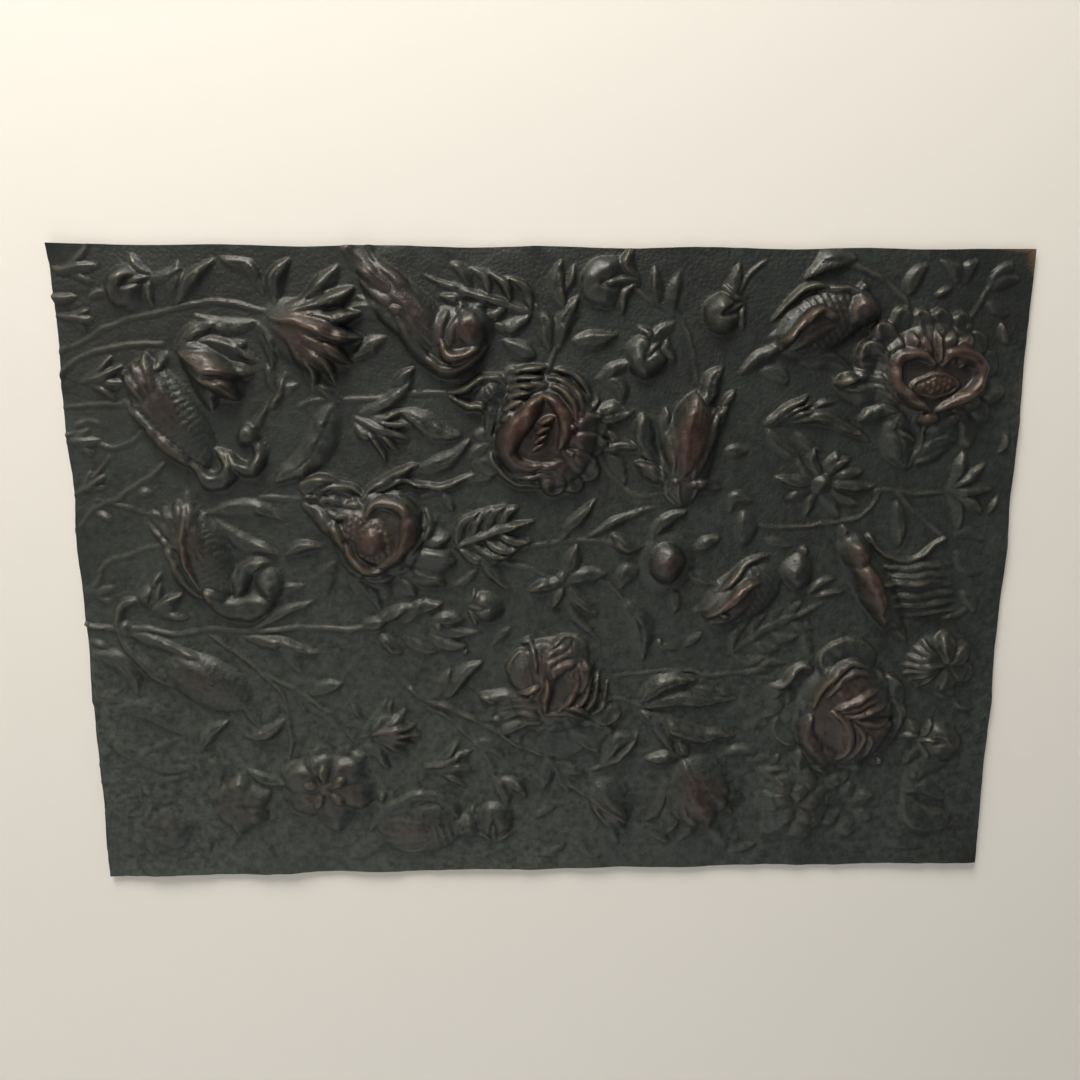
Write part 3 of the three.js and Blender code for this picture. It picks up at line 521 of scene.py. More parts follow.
# Great rose, upper right.
cup(62, 150, 31, 147, 31, 0, MID)
cup(68, 156, 60, 179, 22, 0.1, MID)
cup(76, 152, 86, 176, 20, 0, MID)
petal(82, 150, 102, 160, 17, 0, LOW)
petal(84, 140, 104, 142, 15, 0, LOW)
cup(76, 132, 84, 114, 19, -0.1, MID)
petal(82, 136, 101, 127, 14, 0, MID)
cup(66, 142, 47, 166, 24, -0.1, LOW)
ridge(6, HIGH, 68, 131, 58, 134, 50, 140, 44, 150, 47, 161, 54, 169, 62, 171)
ridge(5, MID, 60, 138, 51, 146, 48, 155, 51, 165)
ridge(4.6, HIGH, 66, 141, 61, 150, 57, 159, 55, 169)
ridge(4, MID, 67, 143, 64, 152, 61, 159, 60, 168)
ridge(5, HIGH, 69, 143, 68, 152, 66, 160, 62, 170)
ridge(6, MID, 61, 172, 67, 176, 74, 177, 81, 174)
ridge(5, MID, 70, 151, 73, 158, 74, 165, 71, 171)
dent(82, 142, 7, 5, 10, 3.5)
ridge(4, MID, 78, 159, 86, 162, 94, 159)
ridge(4.6, MID, 71, 150, 79, 156, 88, 155, 96, 151)
ridge(6, HIGH, 67, 139, 71, 146, 80, 149, 89, 149, 96, 144)
ridge(10, HIGH, 69, 131, 77, 128, 86, 131, 93, 136, 99, 143)
petal(66, 130, 54, 109, 16, 0.1, MID)
ridge(6, HIGH, 54, 109, 54, 117, 49, 122, 46, 128, 49, 133)
leaf(58, 118, 74, 107, 9, 0.1, MID)
petal(62, 126, 76, 118, 10, 0, MID)
leaf(44, 132, 21, 128, 7, 0.1, LOW)
leaf(100, 156, 108, 134, 9, 0.15, MID)
stalk(51, 112, 49, 90, 48, 68, 49, 34)

# Tufted flowers at the right edge.
whorl(119, 127, 6, 23, 10, 370, 7, 15, LOW)
whorl(119, 127, 2, 13, 30, 390, 5, 9, LOW)
whorl(122, 155, 4, 16, 0, 360, 6, 10, LOW)
fan(101, 106, 80, 17, 90, 4, 6, MID)
leaf(94, 100, 96, 117, 6, 0, LOW)

# Perched bird and the cut leaf beside it.
body(9, 94, 44, 27, 122, 5.5)
head(-3, 121, 9, 165, 4)
ridge(5, HIGH, -12, 108, -8, 99, -1, 91, 6, 82)
ridge(6, HIGH, 2, 104, 3, 96, 11, 87, 19, 76)
knob(18, 84, 2, 2, 0, MID)
lobed(40, 88, 10, 142, 4, 15, LOW)

# Lily, middle left, opening to the left.
petal(-52, 54, -80, 43, 11, 0.1, MID)
petal(-50, 57, -83, 53, 9, -0.05, HIGH)
petal(-50, 70, -84, 84, 12, 0.1, MID)
petal(-48, 68, -83, 77, 9, 0.12, HIGH)
petal(-48, 62, -91, 68, 20, -0.02, HIGH)
leaf(-84, 72, -102, 82, 9, 0.1, HIGH)
leaf(-82, 79, -91, 87, 6, 0, MID)
petal(-47, 57, -56, 40, 11, 0, HIGH)
petal(-46, 64, -43, 83, 9, 0, MID)
leaf(-62, 82, -64, 95, 7, 0, LOW)
leaf(-79, 20, -78, 41, 8, 0.2, MID)
leaf(-64, 26, -61, 38, 6, 0.1, MID)
stalk(-72, 22, -60, 24, -49, 30, -41, 42, -44, 56)
stalk(-94, 69, -110, 66, -127, 57, -133, 44, -139, 34)
leaf(-124, 56, -146, 60, 8, 0.1, LOW)
leaf(-131, 50, -148, 47, 7, 0, LOW)

# Buds at the left edge.
stalk(-149, 98, -140, 90, -131, 84)
bud(-125, 80, 9, -60)
leaf(-133, 84, -148, 86, 6, 0, LOW)
bud(-106, 45, 10, -40)
leaf(-104, 37, -97, 20, 7, 0, MID)
bud(-139, 25, 11, -90)
leaf(-122, 57, -112, 46, 7, 0, LOW)

# Rose, middle left, with its calyx and stem.
cup(-72, 4, -88, 23, 13, 0.1, LOW)
cup(-70, 5, -77, 28, 14, 0, MID)
cup(-68, 4, -64, 27, 13, 0, MID)
cup(-62, 4, -51, 23, 14, 0, MID)
cup(-58, 0, -43, 14, 13, 0, MID)
cup(-56, -2, -41, 3, 12, 0, MID)
cup(-62, -18, -52, -37, 14, 0, LOW)
petal(-68, -22, -70, -37, 10, 0, LOW)
ridge(5, MID, -68, -27, -57, -27, -47, -15, -44, -4)
ridge(4.6, MID, -62, -24, -53, -19, -49, -9, -50, 3)
ridge(4.6, MID, -58, -18, -54, -11, -53, -2, -57, 6)
ridge(5, MID, -100, 0, -98, 9, -92, 16, -84, 19)
ridge(5, HIGH, -96, -2, -94, 6, -88, 13, -80, 16)
ridge(5, HIGH, -92, 0, -89, 7, -82, 11, -74, 12)
cup(-92, 0, -99, -21, 12, 0.1, MID)
folds(-101, 0, -97, -20, -80, -14, -76, -24, 6, 4.6, -0.05, HIGH)
dent(-70, -2, 13, 8, -20, 3)
ridge(7, HIGH, -87, -7, -85, 2, -77, 7, -69, 6, -61, 2)
ridge(11, HIGH, -89, -3, -80, -10, -72, -18, -62, -21, -55, -13, -53, -3)
folds(-79, 2, -75, -7, -66, -3, -62, -10, 4, 3.2, 0, HIGH)
knob(-73, 10, 2, 2, 0, HIGH)
knob(-80, 14, 2, 2, 0, MID)
knob(-60, 9, 2, 2, 0, MID)
knob(-88, -28, 8, 8, 0, MID)
ridge(5, HIGH, -89, -48, -91, -39, -95, -31, -95, -23, -89, -20)
ridge(4.6, HIGH, -88, -48, -84, -39, -82, -31, -72, -26)
ridge(3, HIGH, -93, -31, -87, -28, -86, -22)
leaf(-86, -26, -68, -29, 9, 0, MID)
stalk(-89, -48, -90, -64, -87, -84, -86, -102, -82, -117)
leaf(-67, -27, -57, -40, 8, 0, LOW)
leaf(-98, 22, -82, 34, 9, 0.25, LOW)
leaf(-74, 27, -63, 44, 8, -0.2, MID)
leaf(-60, 27, -46, 34, 8, 0.15, LOW)
stalk(-98, -2, -112, 4, -124, 12)
leaf(-108, 4, -134, 14, 9, 0.1, MID)
leaf(-108, 0, -130, -8, 9, -0.1, MID)
leaf(-112, 10, -117, 32, 8, 0, MID)
leaf(-126, 6, -149, 4, 9, 0.1, MID)
leaf(-106, -6, -113, -24, 10, 0, MID)

# Cut leaf curling down the left edge and the pheasant.
lobed(-124, -6, -144, -60, 4, 16, MID)
boss(-122, -62, 34, 12, 45, 4.5)
boss(-112, -45, 17, 16, 0, 5)
body(-124, -62, 40, 20, 45, 5)
plume(-112, -52, -149, -92, 4, 8, LOW)
ridge(7, MID, -128, -72, -111, -64, -100, -51, -102, -38, -113, -28)
ridge(6, HIGH, -116, -52, -106, -46, -108, -36, -118, -30)
head(-119, -36, 10, 205, 4)
leaf(-134, -72, -152, -96, 10, -0.05, MID)
leaf(-126, -74, -128, -94, 8, 0, LOW)
leaf(-115, -76, -104, -92, 7, 0, LOW)

# Fruit and its leaves, middle.
boss(-8, 57, 15, 14, 0, 3)
knob(-8, 57, 9, 9, 0, HIGH)
leaf(-19, 48, -34, 67, 9, 0.1, HIGH)
leaf(-14, 70, -22, 82, 8, 0, MID)
leaf(-2, 68, 3, 82, 7, 0, LOW)
leaf(4, 60, 18, 60, 8, 0.1, LOW)
leaf(-16, 46, -23, 28, 10, 0.15, HIGH)
leaf(-6, 44, 6, 34, 10, -0.2, LOW)
stalk(-18, 30, -18, 5, -15, -20, -15, -46)
leaf(-19, 16, -37, 52, 5, 0.05, LOW)
leaf(-18, 4, -40, 22, 7, 0.05, MID)
leaf(10, 35, 42, 46, 13, 0.1, MID)
stalk(12, 36, 4, 30, -2, 20)

# Star lily and the cut leaf at the foot of its stem.
knob(0, 8, 5, 5, 0, HIGH)
leaf(0, 8, -17, 14, 8, 0, MID)
leaf(0, 8, -3, 29, 9, 0.05, MID)
leaf(0, 8, 18, 24, 9, -0.1, MID)
leaf(2, 8, 32, 25, 6, -0.15, LOW)
leaf(0, 8, 15, 2, 8, 0, MID)
leaf(0, 8, 6, -14, 8, 0, HIGH)
stalk(0, 0, -8, -16, -14, -36)
lobed(-15, -48, -29, -6, 4, 18, HIGH)
leaf(-12, -34, 4, -20, 8, 0, MID)

# Rose, middle right.
petal(72, -2, 88, -16, 17, 0, LOW)
cup(72, 4, 93, 6, 28, 0, LOW)
cup(70, 8, 84, 32, 18, -0.1, MID)
cup(66, 6, 68, 35, 15, -0.1, MID)
petal(72, -2, 79, -25, 13, -0.1, MID)
petal(68, -4, 71, -33, 13, -0.1, MID)
petal(63, -4, 59, -35, 17, 0.05, HIGH)
folds(57, -8, 62, -29, 66, -6, 68, -27, 3, 4.6, 0.05, MID)
cup(58, -8, 34, -15, 18, 0.05, MID)
cup(60, 0, 29, -4, 17, 0, MID)
folds(36, 16, 66, 6, 51, 31, 72, 17, 4, 4.6, 0.12, HIGH)
cup(62, 4, 27, 8, 22, -0.05, HIGH)
cup(62, 4, 38, 14, 18, -0.05, HIGH)
dent(54, 5, 9, 6, 0, 3.5)
ridge(5, HIGH, 55, -17, 54, -12, 52, -6)
ridge(5, HIGH, 31, -16, 30, -10, 37, -8, 50, -8)
ridge(6, HIGH, 39, -3, 35, 2, 31, 8, 28, 10)
ridge(8, HIGH, 49, 0, 45, 3, 42, 8, 40, 13)
ridge(5, HIGH, 42, 12, 51, 13, 60, 9, 68, 2)
ridge(5, HIGH, 47, -2, 57, -3, 68, -1)
ridge(5, HIGH, 64, 6, 64, 14, 69, 22)
ridge(5, MID, 68, -2, 67, 7, 71, 17, 79, 28)
ridge(5, MID, 69, -4, 68, -12, 71, -24)

# Three-leaved shoot above it.
leaf(64, 44, 52, 76, 12, 0.1, HIGH)
leaf(66, 44, 62, 95, 9, 0.02, MID)
leaf(68, 44, 82, 95, 12, -0.1, HIGH)
leaf(70, 50, 93, 64, 8, 0, MID)
stalk(66, 47, 62, 36, 60, 26)

# Pink opening to the right, and the leaf arching under it.
fan(93, 68, 14, 44, 86, 6, 15, HIGH)
leaf(94, 68, 95, 48, 9, 0, HIGH)
leaf(93, 72, 85, 66, 7, 0, MID)
leaf(93, 88, 92, 106, 8, 0.15, MID)
leaf(128, 84, 144, 92, 8, 0, LOW)
ridge(5, HIGH, 80, 44, 88, 42, 94, 34, 100, 20)
leaf(84, 44, 98, 26, 12, -0.25, MID)
plume(104, 18, 138, 42, 3, 8, LOW)
ridge(4, MID, 104, 17, 118, 22, 134, 31)
leaf(130, 44, 140, 62, 8, 0.1, LOW)

# Branch running down from the right edge to the middle.
stem(BRANCH, MID, 128, 40, 110, 14, 92, -4, 76, -30, 64, -54, 56, -68)
stem(STALK, LOW, 118, -24, 95, -30, 76, -46, 64, -60)
leaf(96, 2, 102, 18, 7, 0, LOW)
leaf(92, -4, 112, -2, 8, 0.1, LOW)
leaf(88, -12, 74, 0, 7, 0, LOW)
leaf(104, -28, 114, -10, 8, 0.15, HIGH)
leaf(100, -29, 120, -22, 8, 0.1, MID)
leaf(84, -40, 92, -22, 8, 0.1, MID)
leaf(74, -36, 62, -24, 7, 0, LOW)
fan(97, -66, 96, 30, 60, 4, 7, HIGH)
leaf(60, -54, 42, -32, 10, 0.05, HIGH)
leaf(60, -60, 44, -50, 8, -0.1, MID)
leaf(78, -66, 72, -82, 7, 0, LOW)
bud(126, -28, 10, 180)

# Bird with folded wings at the right edge.
body(130, -66, 46, 28, 93, 5)
ridge(8, MID, 133, -92, 121, -84, 114, -68, 117, -52, 129, -42)
head(129, -42, 8, 160, 4)
leaf(134, -82, 146, -104, 9, 0, LOW)

# Pomegranate flower, low middle.
petal(-8, -92, 8, -93, 12, 0, LOW)
petal(-8, -84, 9, -80, 14, 0, LOW)
petal(-6, -76, 9, -66, 13, 0, LOW)
petal(-6, -74, 2, -51, 14, 0.05, MID)
petal(-12, -70, -8, -46, 15, 0, MID)
petal(-20, -68, -22, -48, 13, 0, LOW)
petal(-26, -68, -32, -55, 10, 0, MID)
leaf(-8, -100, 15, -83, 11, 0.1, MID)
leaf(-10, -102, 10, -110, 9, -0.1, LOW)
cup(-36, -90, -45, -119, 14, -0.1, HIGH)
cup(-32, -92, -38, -119, 13, 0, HIGH)
ridge(5, MID, -40, -86, -42, -79, -43, -70)
ridge(5, HIGH, -38, -88, -44, -81, -48, -73, -48, -63)
ridge(6, HIGH, -38, -90, -46, -83, -51, -73, -56, -61)
ridge(5, HIGH, -40, -88, -46, -95, -45, -104, -41, -113)
ridge(6, HIGH, -36, -90, -39, -102, -37, -113)
ridge(9, HIGH, -38, -119, -31, -109, -23, -101, -14, -96)
dent(-20, -82, 14, 12, 0, 3)
seeds(-27, -92, 7, 7, 0)
seeds(-20, -83, 11, 9, 0)
knob(-20, -84, 7, 6.5, 0, MID)
ridge(5, MID, -37, -61, -28, -58, -19, -63, -11, -68)
ridge(5, MID, -4, -75, 1, -83, -2, -91)
ridge(6, HIGH, -7, -78, -5, -86, -10, -93, -20, -97)
ridge(9, HIGH, -31, -89, -38, -82, -39, -73, -33, -66, -22, -67, -13, -73, -7, -83)
stalk(-38, -112, -39, -130, -37, -146, -33, -164)
stalk(-42, -62, -45, -50, -50, -38)
leaf(-48, -42, -49, -26, 7, 0, LOW)
leaf(-43, -52, -34, -46, 6, 0, LOW)
leaf(-86, -100, -45, -130, 15, 0.1, MID)
leaf(-52, -64, -68, -38, 10, -0.1, LOW)
leaf(-82, -70, -69, -42, 12, -0.05, MID)

# Pink in bud on the left stem.
knob(-74, -84, 7, 9, 20, MID)
fan(-79, -94, 66, 30, 60, 5, 6, HIGH)
leaf(-80, -90, -101, -64, 8, -0.15, MID)
leaf(-86, -96, -94, -112, 7, 0, LOW)

# Spike of flowers and the bud beside it.
bud(14, -31, 8, 90)
knob(25, -62, 8, 8, 0, LOW)
leaf(22, -74, 12, -52, 10, 0.1, HIGH)
leaf(22, -86, 14, -66, 9, 0.1, HIGH)
leaf(28, -72, 36, -54, 10, -0.1, MID)
leaf(27, -84, 38, -72, 9, -0.1, HIGH)
leaf(24, -60, 20, -42, 9, 0.1, MID)
leaf(27, -60, 34, -40, 9, -0.1, MID)
leaf(25, -60, 27, -34, 7, 0, MID)
leaf(24, -92, 20, -80, 9, 0, HIGH)
stem(BRANCH, LOW, 24, -90, 25, -115, 25, -145, 25, -175, 24, -205, 25, -226)
knob(24, -205, 4, 3, 0, MID)
leaf(24, -146, 11, -113, 7, 0.05, MID)
leaf(28, -150, 37, -110, 8, 0, HIGH)
leaf(33, -132, 48, -122, 9, 0.1, LOW)
leaf(20, -158, 2, -118, 10, 0.08, LOW)

# Pink in bud, lower right, on the long bent stem.
boss(79, -80, 11, 10, 0, 3)
fan(80, -96, 100, 31, 70, 6, 6, HIGH)
leaf(78, -94, 60, -80, 8, -0.1, MID)
leaf(84, -94, 98, -80, 8, 0.1, MID)
stem(STALK, LOW, 82, -96, 62, -118, 44, -142, 28, -164)
stem(STALK, LOW, 98, -131, 78, -130, 60, -132, 44, -142)
leaf(58, -120, 52, -102, 8, 0, MID)
leaf(66, -114, 78, -104, 8, 0, LOW)
leaf(70, -131, 80, -152, 9, 0.1, HIGH)
leaf(62, -134, 72, -142, 7, 0, LOW)

# Pansy and the flower below it, right edge.
whorl(106, -112, 4, 26, 10, 370, 6, 19, MID)
whorl(106, -112, 2, 13, 40, 400, 5, 8, HIGH)
knob(106, -112, 4, 4, 0, MID)
leaf(93, -106, 84, -99, 8, 0, LOW)
whorl(116, -156, 3, 17, 0, 360, 6, 13, MID)
knob(116, -156, 4, 4, 0, LOW)
leaf(132, -128, 146, -116, 8, 0, LOW)
leaf(104, -134, 96, -152, 8, 0.1, MID)
leaf(136, -150, 148, -140, 7, 0, LOW)

# Fan-petalled tulip, lower left, and its leaves.
fan(-124, -129, 76, 45, 96, 7, 11, HIGH)
leaf(-128, -126, -150, -118, 8, 0.1, MID)
leaf(-122, -134, -100, -128, 8, 0.1, LOW)
stalk(-126, -131, -129, -150, -128, -167, -125, -182, -118, -202, -106, -226)
leaf(-122, -134, -124, -162, 8, 0.15, LOW)
leaf(-132, -130, -147, -150, 8, -0.2, LOW)
leaf(-129, -170, -147, -152, 9, 0.1, MID)
leaf(-129, -172, -149, -168, 8, 0, LOW)

# Tulip leaning right, beside it.
fan(-110, -174, 62, 40, 62, 4, 12, HIGH)
leaf(-110, -173, -104, -134, 8, 0.1, MID)
leaf(-110, -172, -120, -150, 8, 0.1, MID)
leaf(-108, -176, -96, -182, 7, 0, LOW)
stalk(-111, -178, -110, -196, -106, -212, -98, -226)
bud(-137, -191, 10, -70)
leaf(-139, -180, -146, -166, 6, 0, LOW)

# Heron with a twig, facing left.
body(-79, -176, 58, 28, 32, 6)
plume(-86, -182, -104, -192, 3, 8, MID)
ridge(8, MID, -86, -197, -72, -186, -60, -175, -51, -163)
ridge(10, HIGH, -58, -170, -49, -162, -49, -153, -57, -149, -64, -156)
ridge(8, HIGH, -63, -150, -56, -146, -52, -140, -58, -135, -69, -139)
head(-69, -141, 6, 145, 7)
stalk(-76, -137, -86, -130, -99, -123)
leaf(-90, -128, -104, -131, 6, 0, LOW)
leaf(-88, -128, -94, -117, 6, 0, LOW)
stalk(-83, -188, -84, -206, -84, -223)
stalk(-72, -187, -63, -204, -69, -213, -69, -226)

# Heron in the middle, looking back.
body(-14, -168, 52, 29, 24, 6)
plume(-22, -174, -42, -180, 4, 8, MID)
ridge(4.6, MID, -38, -172, -20, -172, -5, -171, 5, -167)
ridge(7, MID, -28, -190, -14, -181, 0, -175, 10, -165)
ridge(13, HIGH, 4, -166, 13, -155, 12, -141, 5, -131)
ridge(9, HIGH, 8, -152, 0, -148, -6, -143, -7, -133)
knob(2, -135, 8, 7, 0, HIGH)
stalk(-16, -176, -15, -194, -10, -210, -4, -216)
stalk(-27, -176, -34, -196, -38, -214)
leaf(-33, -162, -29, -124, 9, 0.1, MID)
leaf(-31, -160, -12, -128, 9, -0.1, MID)

# Scaled bird with its neck bent under, right of the main stem.
body(51, -168, 46, 26, 60, 5)
ridge(7, MID, 54, -184, 45, -194, 34, -204, 22, -208)
ridge(6, MID, 24, -209, 13, -206, 9, -196)
head(7, -193, 6, 150, 8)
leaf(60, -152, 76, -142, 10, 0, LOW)

# Plants between the birds and along the foot.
fan(18, -196, 122, 24, 60, 3, 7, HIGH)
leaf(26, -204, 38, -170, 8, 0, MID)
leaf(66, -216, 80, -182, 12, 0.2, MID)
leaf(78, -220, 96, -178, 10, -0.1, MID)
stalk(95, -226, 93, -200, 89, -170)
stalk(103, -226, 103, -208, 103, -192)
leaf(88, -176, 70, -160, 9, 0.1, HIGH)
leaf(90, -172, 108, -166, 9, 0.1, MID)
leaf(36, -222, 58, -202, 12, 0.25, MID)
bud(129, -193, 12, 90)
leaf(122, -206, 142, -214, 9, 0.1, LOW)
leaf(112, -186, 106, -206, 9, 0.1, LOW)
whorl(126, -178, 4, 15, 20, 160, 5, 7, LOW)
stalk(-56, -182, -38, -208, -24, -226)
fan(-144, -226, 95, 24, 40, 3, 5, LOW)
fan(-126, -226, 75, 20, 40, 3, 5, LOW)
fan(-94, -218, 95, 24, 60, 4, 6, MID)
fan(-66, -226, 95, 18, 50, 3, 5, LOW)
fan(-42, -226, 120, 20, 40, 3, 5, LOW)
fan(6, -226, 100, 18, 60, 3, 5, LOW)
fan(58, -226, 80, 18, 50, 3, 6, LOW)
fan(118, -226, 90, 20, 60, 4, 6, LOW)
fan(142, -224, 95, 20, 30, 3, 5, LOW)

# Small leaves, beads and tendrils that fill the ground between the larger forms.
leaf(-132, -225, -133, -213, 4, 0, LOW)
leaf(-133, -209, -134, -199, 4, 0.1, LOW)
leaf(-72, -221, -75, -207, 4, 0.15, LOW)
stem(1.8, THIN, -42, -225, -50, -216, -59, -206)
knob(-44, -191, 2.5, 3.2, 0, LOW)
leaf(-31, -215, -28, -207, 4, 0, LOW)
leaf(-82, -131, -98, -124, 5, -0.1, MID)
leaf(-12, -128, -17, -107, 6, 0.1, MID)
leaf(31, -223, 33, -213, 4, 0, LOW)
stem(1.8, THIN, 58, -126, 70, -120, 88, -113)
leaf(62, -100, 72, -93, 4, 0, LOW)
leaf(88, -200, 80, -182, 4, 0.1, LOW)
leaf(101, -200, 99, -178, 4, 0, LOW)
knob(113, -86, 3.4, 2, 0, MID)
leaf(-127, -75, -126, -66, 5, 0, MID)
leaf(-94, -74, -101, -63, 6, 0, MID)
leaf(-134, 6, -148, 11, 4, -0.1, LOW)
leaf(-97, 22, -104, 38, 7, 0.1, MID)
leaf(-78, 24, -82, 41, 6, -0.1, MID)
leaf(-62, 24, -64, 44, 7, 0.1, MID)
leaf(-70, 56, -84, 54, 5, 0, MID)
knob(-47, 59, 1.8, 1.8, 0, LOW)
ridge(3.6, MID, -50, -75, -46, -60, -45, -50, -48, -40, -51, -33)
leaf(-134, 178, -137, 187, 4, 0, LOW)
leaf(-32, 86, -38, 100, 6, 0.3, LOW)
leaf(-20, 103, -14, 118, 5, 0, LOW)
leaf(8, 127, 0, 142, 5, 0.1, MID)
leaf(10, 130, 6, 146, 4, 0, MID)
leaf(49, 100, 43, 121, 6, 0.1, MID)
leaf(50, 96, 47, 113, 5, 0.1, LOW)
ridge(3, MID, 62, 170, 68, 175, 78, 177, 88, 175)
leaf(84, 178, 84, 189, 4, 0, MID)
knob(105, 187, 1.8, 1.8, 0, LOW)
knob(96, 170, 2, 2.4, 0, LOW)
knob(24, -54, 2.4, 2.4, 0, MID)
knob(37, -41, 1.6, 1.6, 0, LOW)
leaf(88, -43, 96, -42, 3, 0, LOW)
leaf(34, 52, 36, 64, 5, 0, LOW)
knob(33, 54, 1.8, 1.8, 0, LOW)
leaf(58, 70, 61, 92, 6, 0.1, LOW)
leaf(75, 98, 77, 112, 5, 0, LOW)
leaf(134, -96, 140, -112, 5, 0.1, LOW)
leaf(137, -62, 143, -78, 5, 0.1, LOW)
leaf(138, 10, 146, -6, 6, 0.1, LOW)
leaf(139, 14, 147, 28, 6, -0.1, LOW)
leaf(118, 4, 126, -8, 5, 0, LOW)
leaf(100, 4, 112, 10, 5, 0, LOW)
leaf(140, 66, 128, 78, 6, 0.1, LOW)
leaf(141, 108, 146, 92, 5, 0, LOW)
leaf(142, 152, 147, 166, 5, 0, LOW)
leaf(60, 196, 66, 210, 5, 0, LOW)
leaf(70, 216, 62, 204, 4, 0.1, LOW)
leaf(22, 196, 16, 210, 5, 0, LOW)
leaf(-30, 214, -42, 219, 4, 0, LOW)
leaf(-72, 218, -60, 214, 4, 0.1, LOW)
leaf(-112, 216, -124, 212, 5, 0.1, LOW)
leaf(-6, -34, 2, -48, 5, 0.1, LOW)
leaf(24, -20, 34, -30, 5, 0, LOW)
leaf(26, 76, 34, 66, 5, 0, LOW)
leaf(-110, -51, -127, -47, 6, 0.15, LOW)
leaf(-110, -46, -126, -42, 5, 0.1, LOW)
ridge(2.2, LOW, -52, 55, -42, 54, -35, 62)
ridge(2.2, LOW, -50, 62, -41, 60, -35, 64)
ridge(2.2, LOW, -48, 70, -41, 70, -35, 67)



def blurred(field, reach):
    """The field smoothed over a reach in millimetres."""
    pad = int(4 * reach / STEP)
    wide = np.pad(field, pad, mode="edge")
    fz = np.fft.fftfreq(wide.shape[0], STEP)[:, None]
    fx = np.fft.rfftfreq(wide.shape[1], STEP)[None, :]
    soft = np.exp(-2 * (math.pi * reach) ** 2 * (fx * fx + fz * fz))
    out = np.fft.irfft2(np.fft.rfft2(wide) * soft, wide.shape)
    return out[pad:-pad, pad:-pad]


def lowest_near(field, reach):
    """The least of the field within a reach, so that a hollow never breaks through its side."""
    steps = int(reach / STEP)
    out = field.copy()
    for axis in (0, 1):
        least = out.copy()
        for shift in range(1, steps + 1):
            least = np.minimum(least, np.roll(out, shift, axis))
            least = np.minimum(least, np.roll(out, -shift, axis))
        out = least
    return out


def uneven(reach, seed):
    """Soft unevenness of a hand-worked sheet, between about -1 and 1."""
    noise = np.random.default_rng(seed).standard_normal(raised.shape)
    soft = blurred(noise, reach)
    return soft / (2 * soft.std())


def sample(field, x, z):
    """The field's value at points given in millimetres."""
    fx = np.clip((x - xs[0]) / STEP, 0, len(xs) - 1.001)
    fz = np.clip((z - zs[0]) / STEP, 0, len(zs) - 1.001)
    i, k = fx.astype(int), fz.astype(int)
    a, b = fx - i, fz - k
    low = field[k, i] * (1 - a) + field[k, i + 1] * a
    high = field[k + 1, i] * (1 - a) + field[k + 1, i + 1] * a
    return low * (1 - b) + high * b


def unsteady(field, far, reach, seed):
    """The field with its lines wandering by up to far, as lines drawn by hand do."""
    gx, gz = np.meshgrid(xs, zs)
    return sample(field, gx + far * uneven(reach, seed), gz + far * uneven(reach, seed + 1))


across, up = np.meshgrid(xs / WIDTH + 0.5, zs / HEIGHT + 0.5)
SLOW, QUICK = 5.0, 1.6  # how far apart the slow and the quick changes of a hand's pressure fall
STRAY, SHAKE = 1.5, 0.34  # how far its lines wander with each
STRUCK = 0.8  # the share of a form's height that is left when the sheet has sprung back
FAINTER = 0.42  # how much lower the relief is where it has been rubbed most, at the right and below
DENTS, MARKS = 0.26, 0.18  # unevenness of the ground between the forms, and of single blows
SPACING, MARK_SPACING = 7.0, 2.2
THINNEST = 0.5  # least metal left between the front and a hollow behind it
DRAWN = 2.6  # how far round a form the metal is drawn up with it
WORN_MOST = 9.0  # the height at which a form is rubbed most
BARE_WIDE, BARE_TALL = 9.0, 5.0  # the top left corner, rubbed bare
PATCHES = 16.0  # how far apart more and less worn patches lie
drawn = unsteady(unsteady(raised, STRAY, SLOW, 21), SHAKE, QUICK, 25)
worked = drawn * (1 + 0.28 * uneven(SLOW, 2) + 0.26 * uneven(QUICK, 12))  # no blow falls quite like the last
worked = worked * (1 - FAINTER * np.clip(across * (1.15 - 0.5 * up) - 0.2, 0, 1))
relief = swelling + STRUCK * worked + 0.42 * blurred(np.clip(worked, 0, None), DRAWN)
relief = relief + DENTS * uneven(SPACING, 3) + MARKS * uneven(MARK_SPACING, 4)
relief = np.clip(1.05 * blurred(relief, 0.28), -0.5, TALLEST)
hollow = blurred(np.clip(lowest_near(swelling + raised * STRUCK, 1.5) - 0.4, 0, None), 1.6)
hollow = np.clip(np.minimum(hollow, relief + SHEET - THINNEST), 0, None)
stands = np.clip((swelling + STRUCK * drawn) / WORN_MOST, 0, 1)  # how far forward it was first beaten
proud = relief - blurred(relief, 3.0)
keen = relief - blurred(relief, 0.9)
patchy = uneven(PATCHES, 8)
lower_right = across * (1.0 - 0.45 * up)
from_corner = np.hypot(across * WIDTH / BARE_WIDE, (1 - up) * HEIGHT / BARE_TALL)
# Masks laid on the sheet as attributes: worn, rubbed and plain are the metal's own; edge is partly polish and
# partly a painted highlight, sunk is painted shade, and the pale veil at the lower right is painted reflected
# light.
wear_and_painted_light = {
    "worn": np.clip(1.6 * stands - 0.66 + 0.4 * patchy, 0, 1),
    # crests: partly polished metal, partly a painted highlight
    "edge": np.clip(2.6 * keen - 0.4 + 0.3 * uneven(2.0, 9), 0, 1) * 0.5,
    # painted shade: hollows and the grooves round forms darkened
    "sunk": np.clip(-2.8 * keen - 0.3 * proud, 0, 1) * 0.6,
    "plain": np.clip(1 - relief / 1.6, 0, 1),
    # painted reflection: a pale veil of reflected light over the lower right, less on the high forms; it also
    # makes the surface matter there
    "painted_haze": np.clip(lower_right + 0.15 * patchy, 0, 1) * np.clip(1 - relief / 6.0, 0.45, 1),
    "rubbed": np.clip(1.6 - 1.6 * from_corner + 0.4 * uneven(1.6, 31), 0, 1),
}


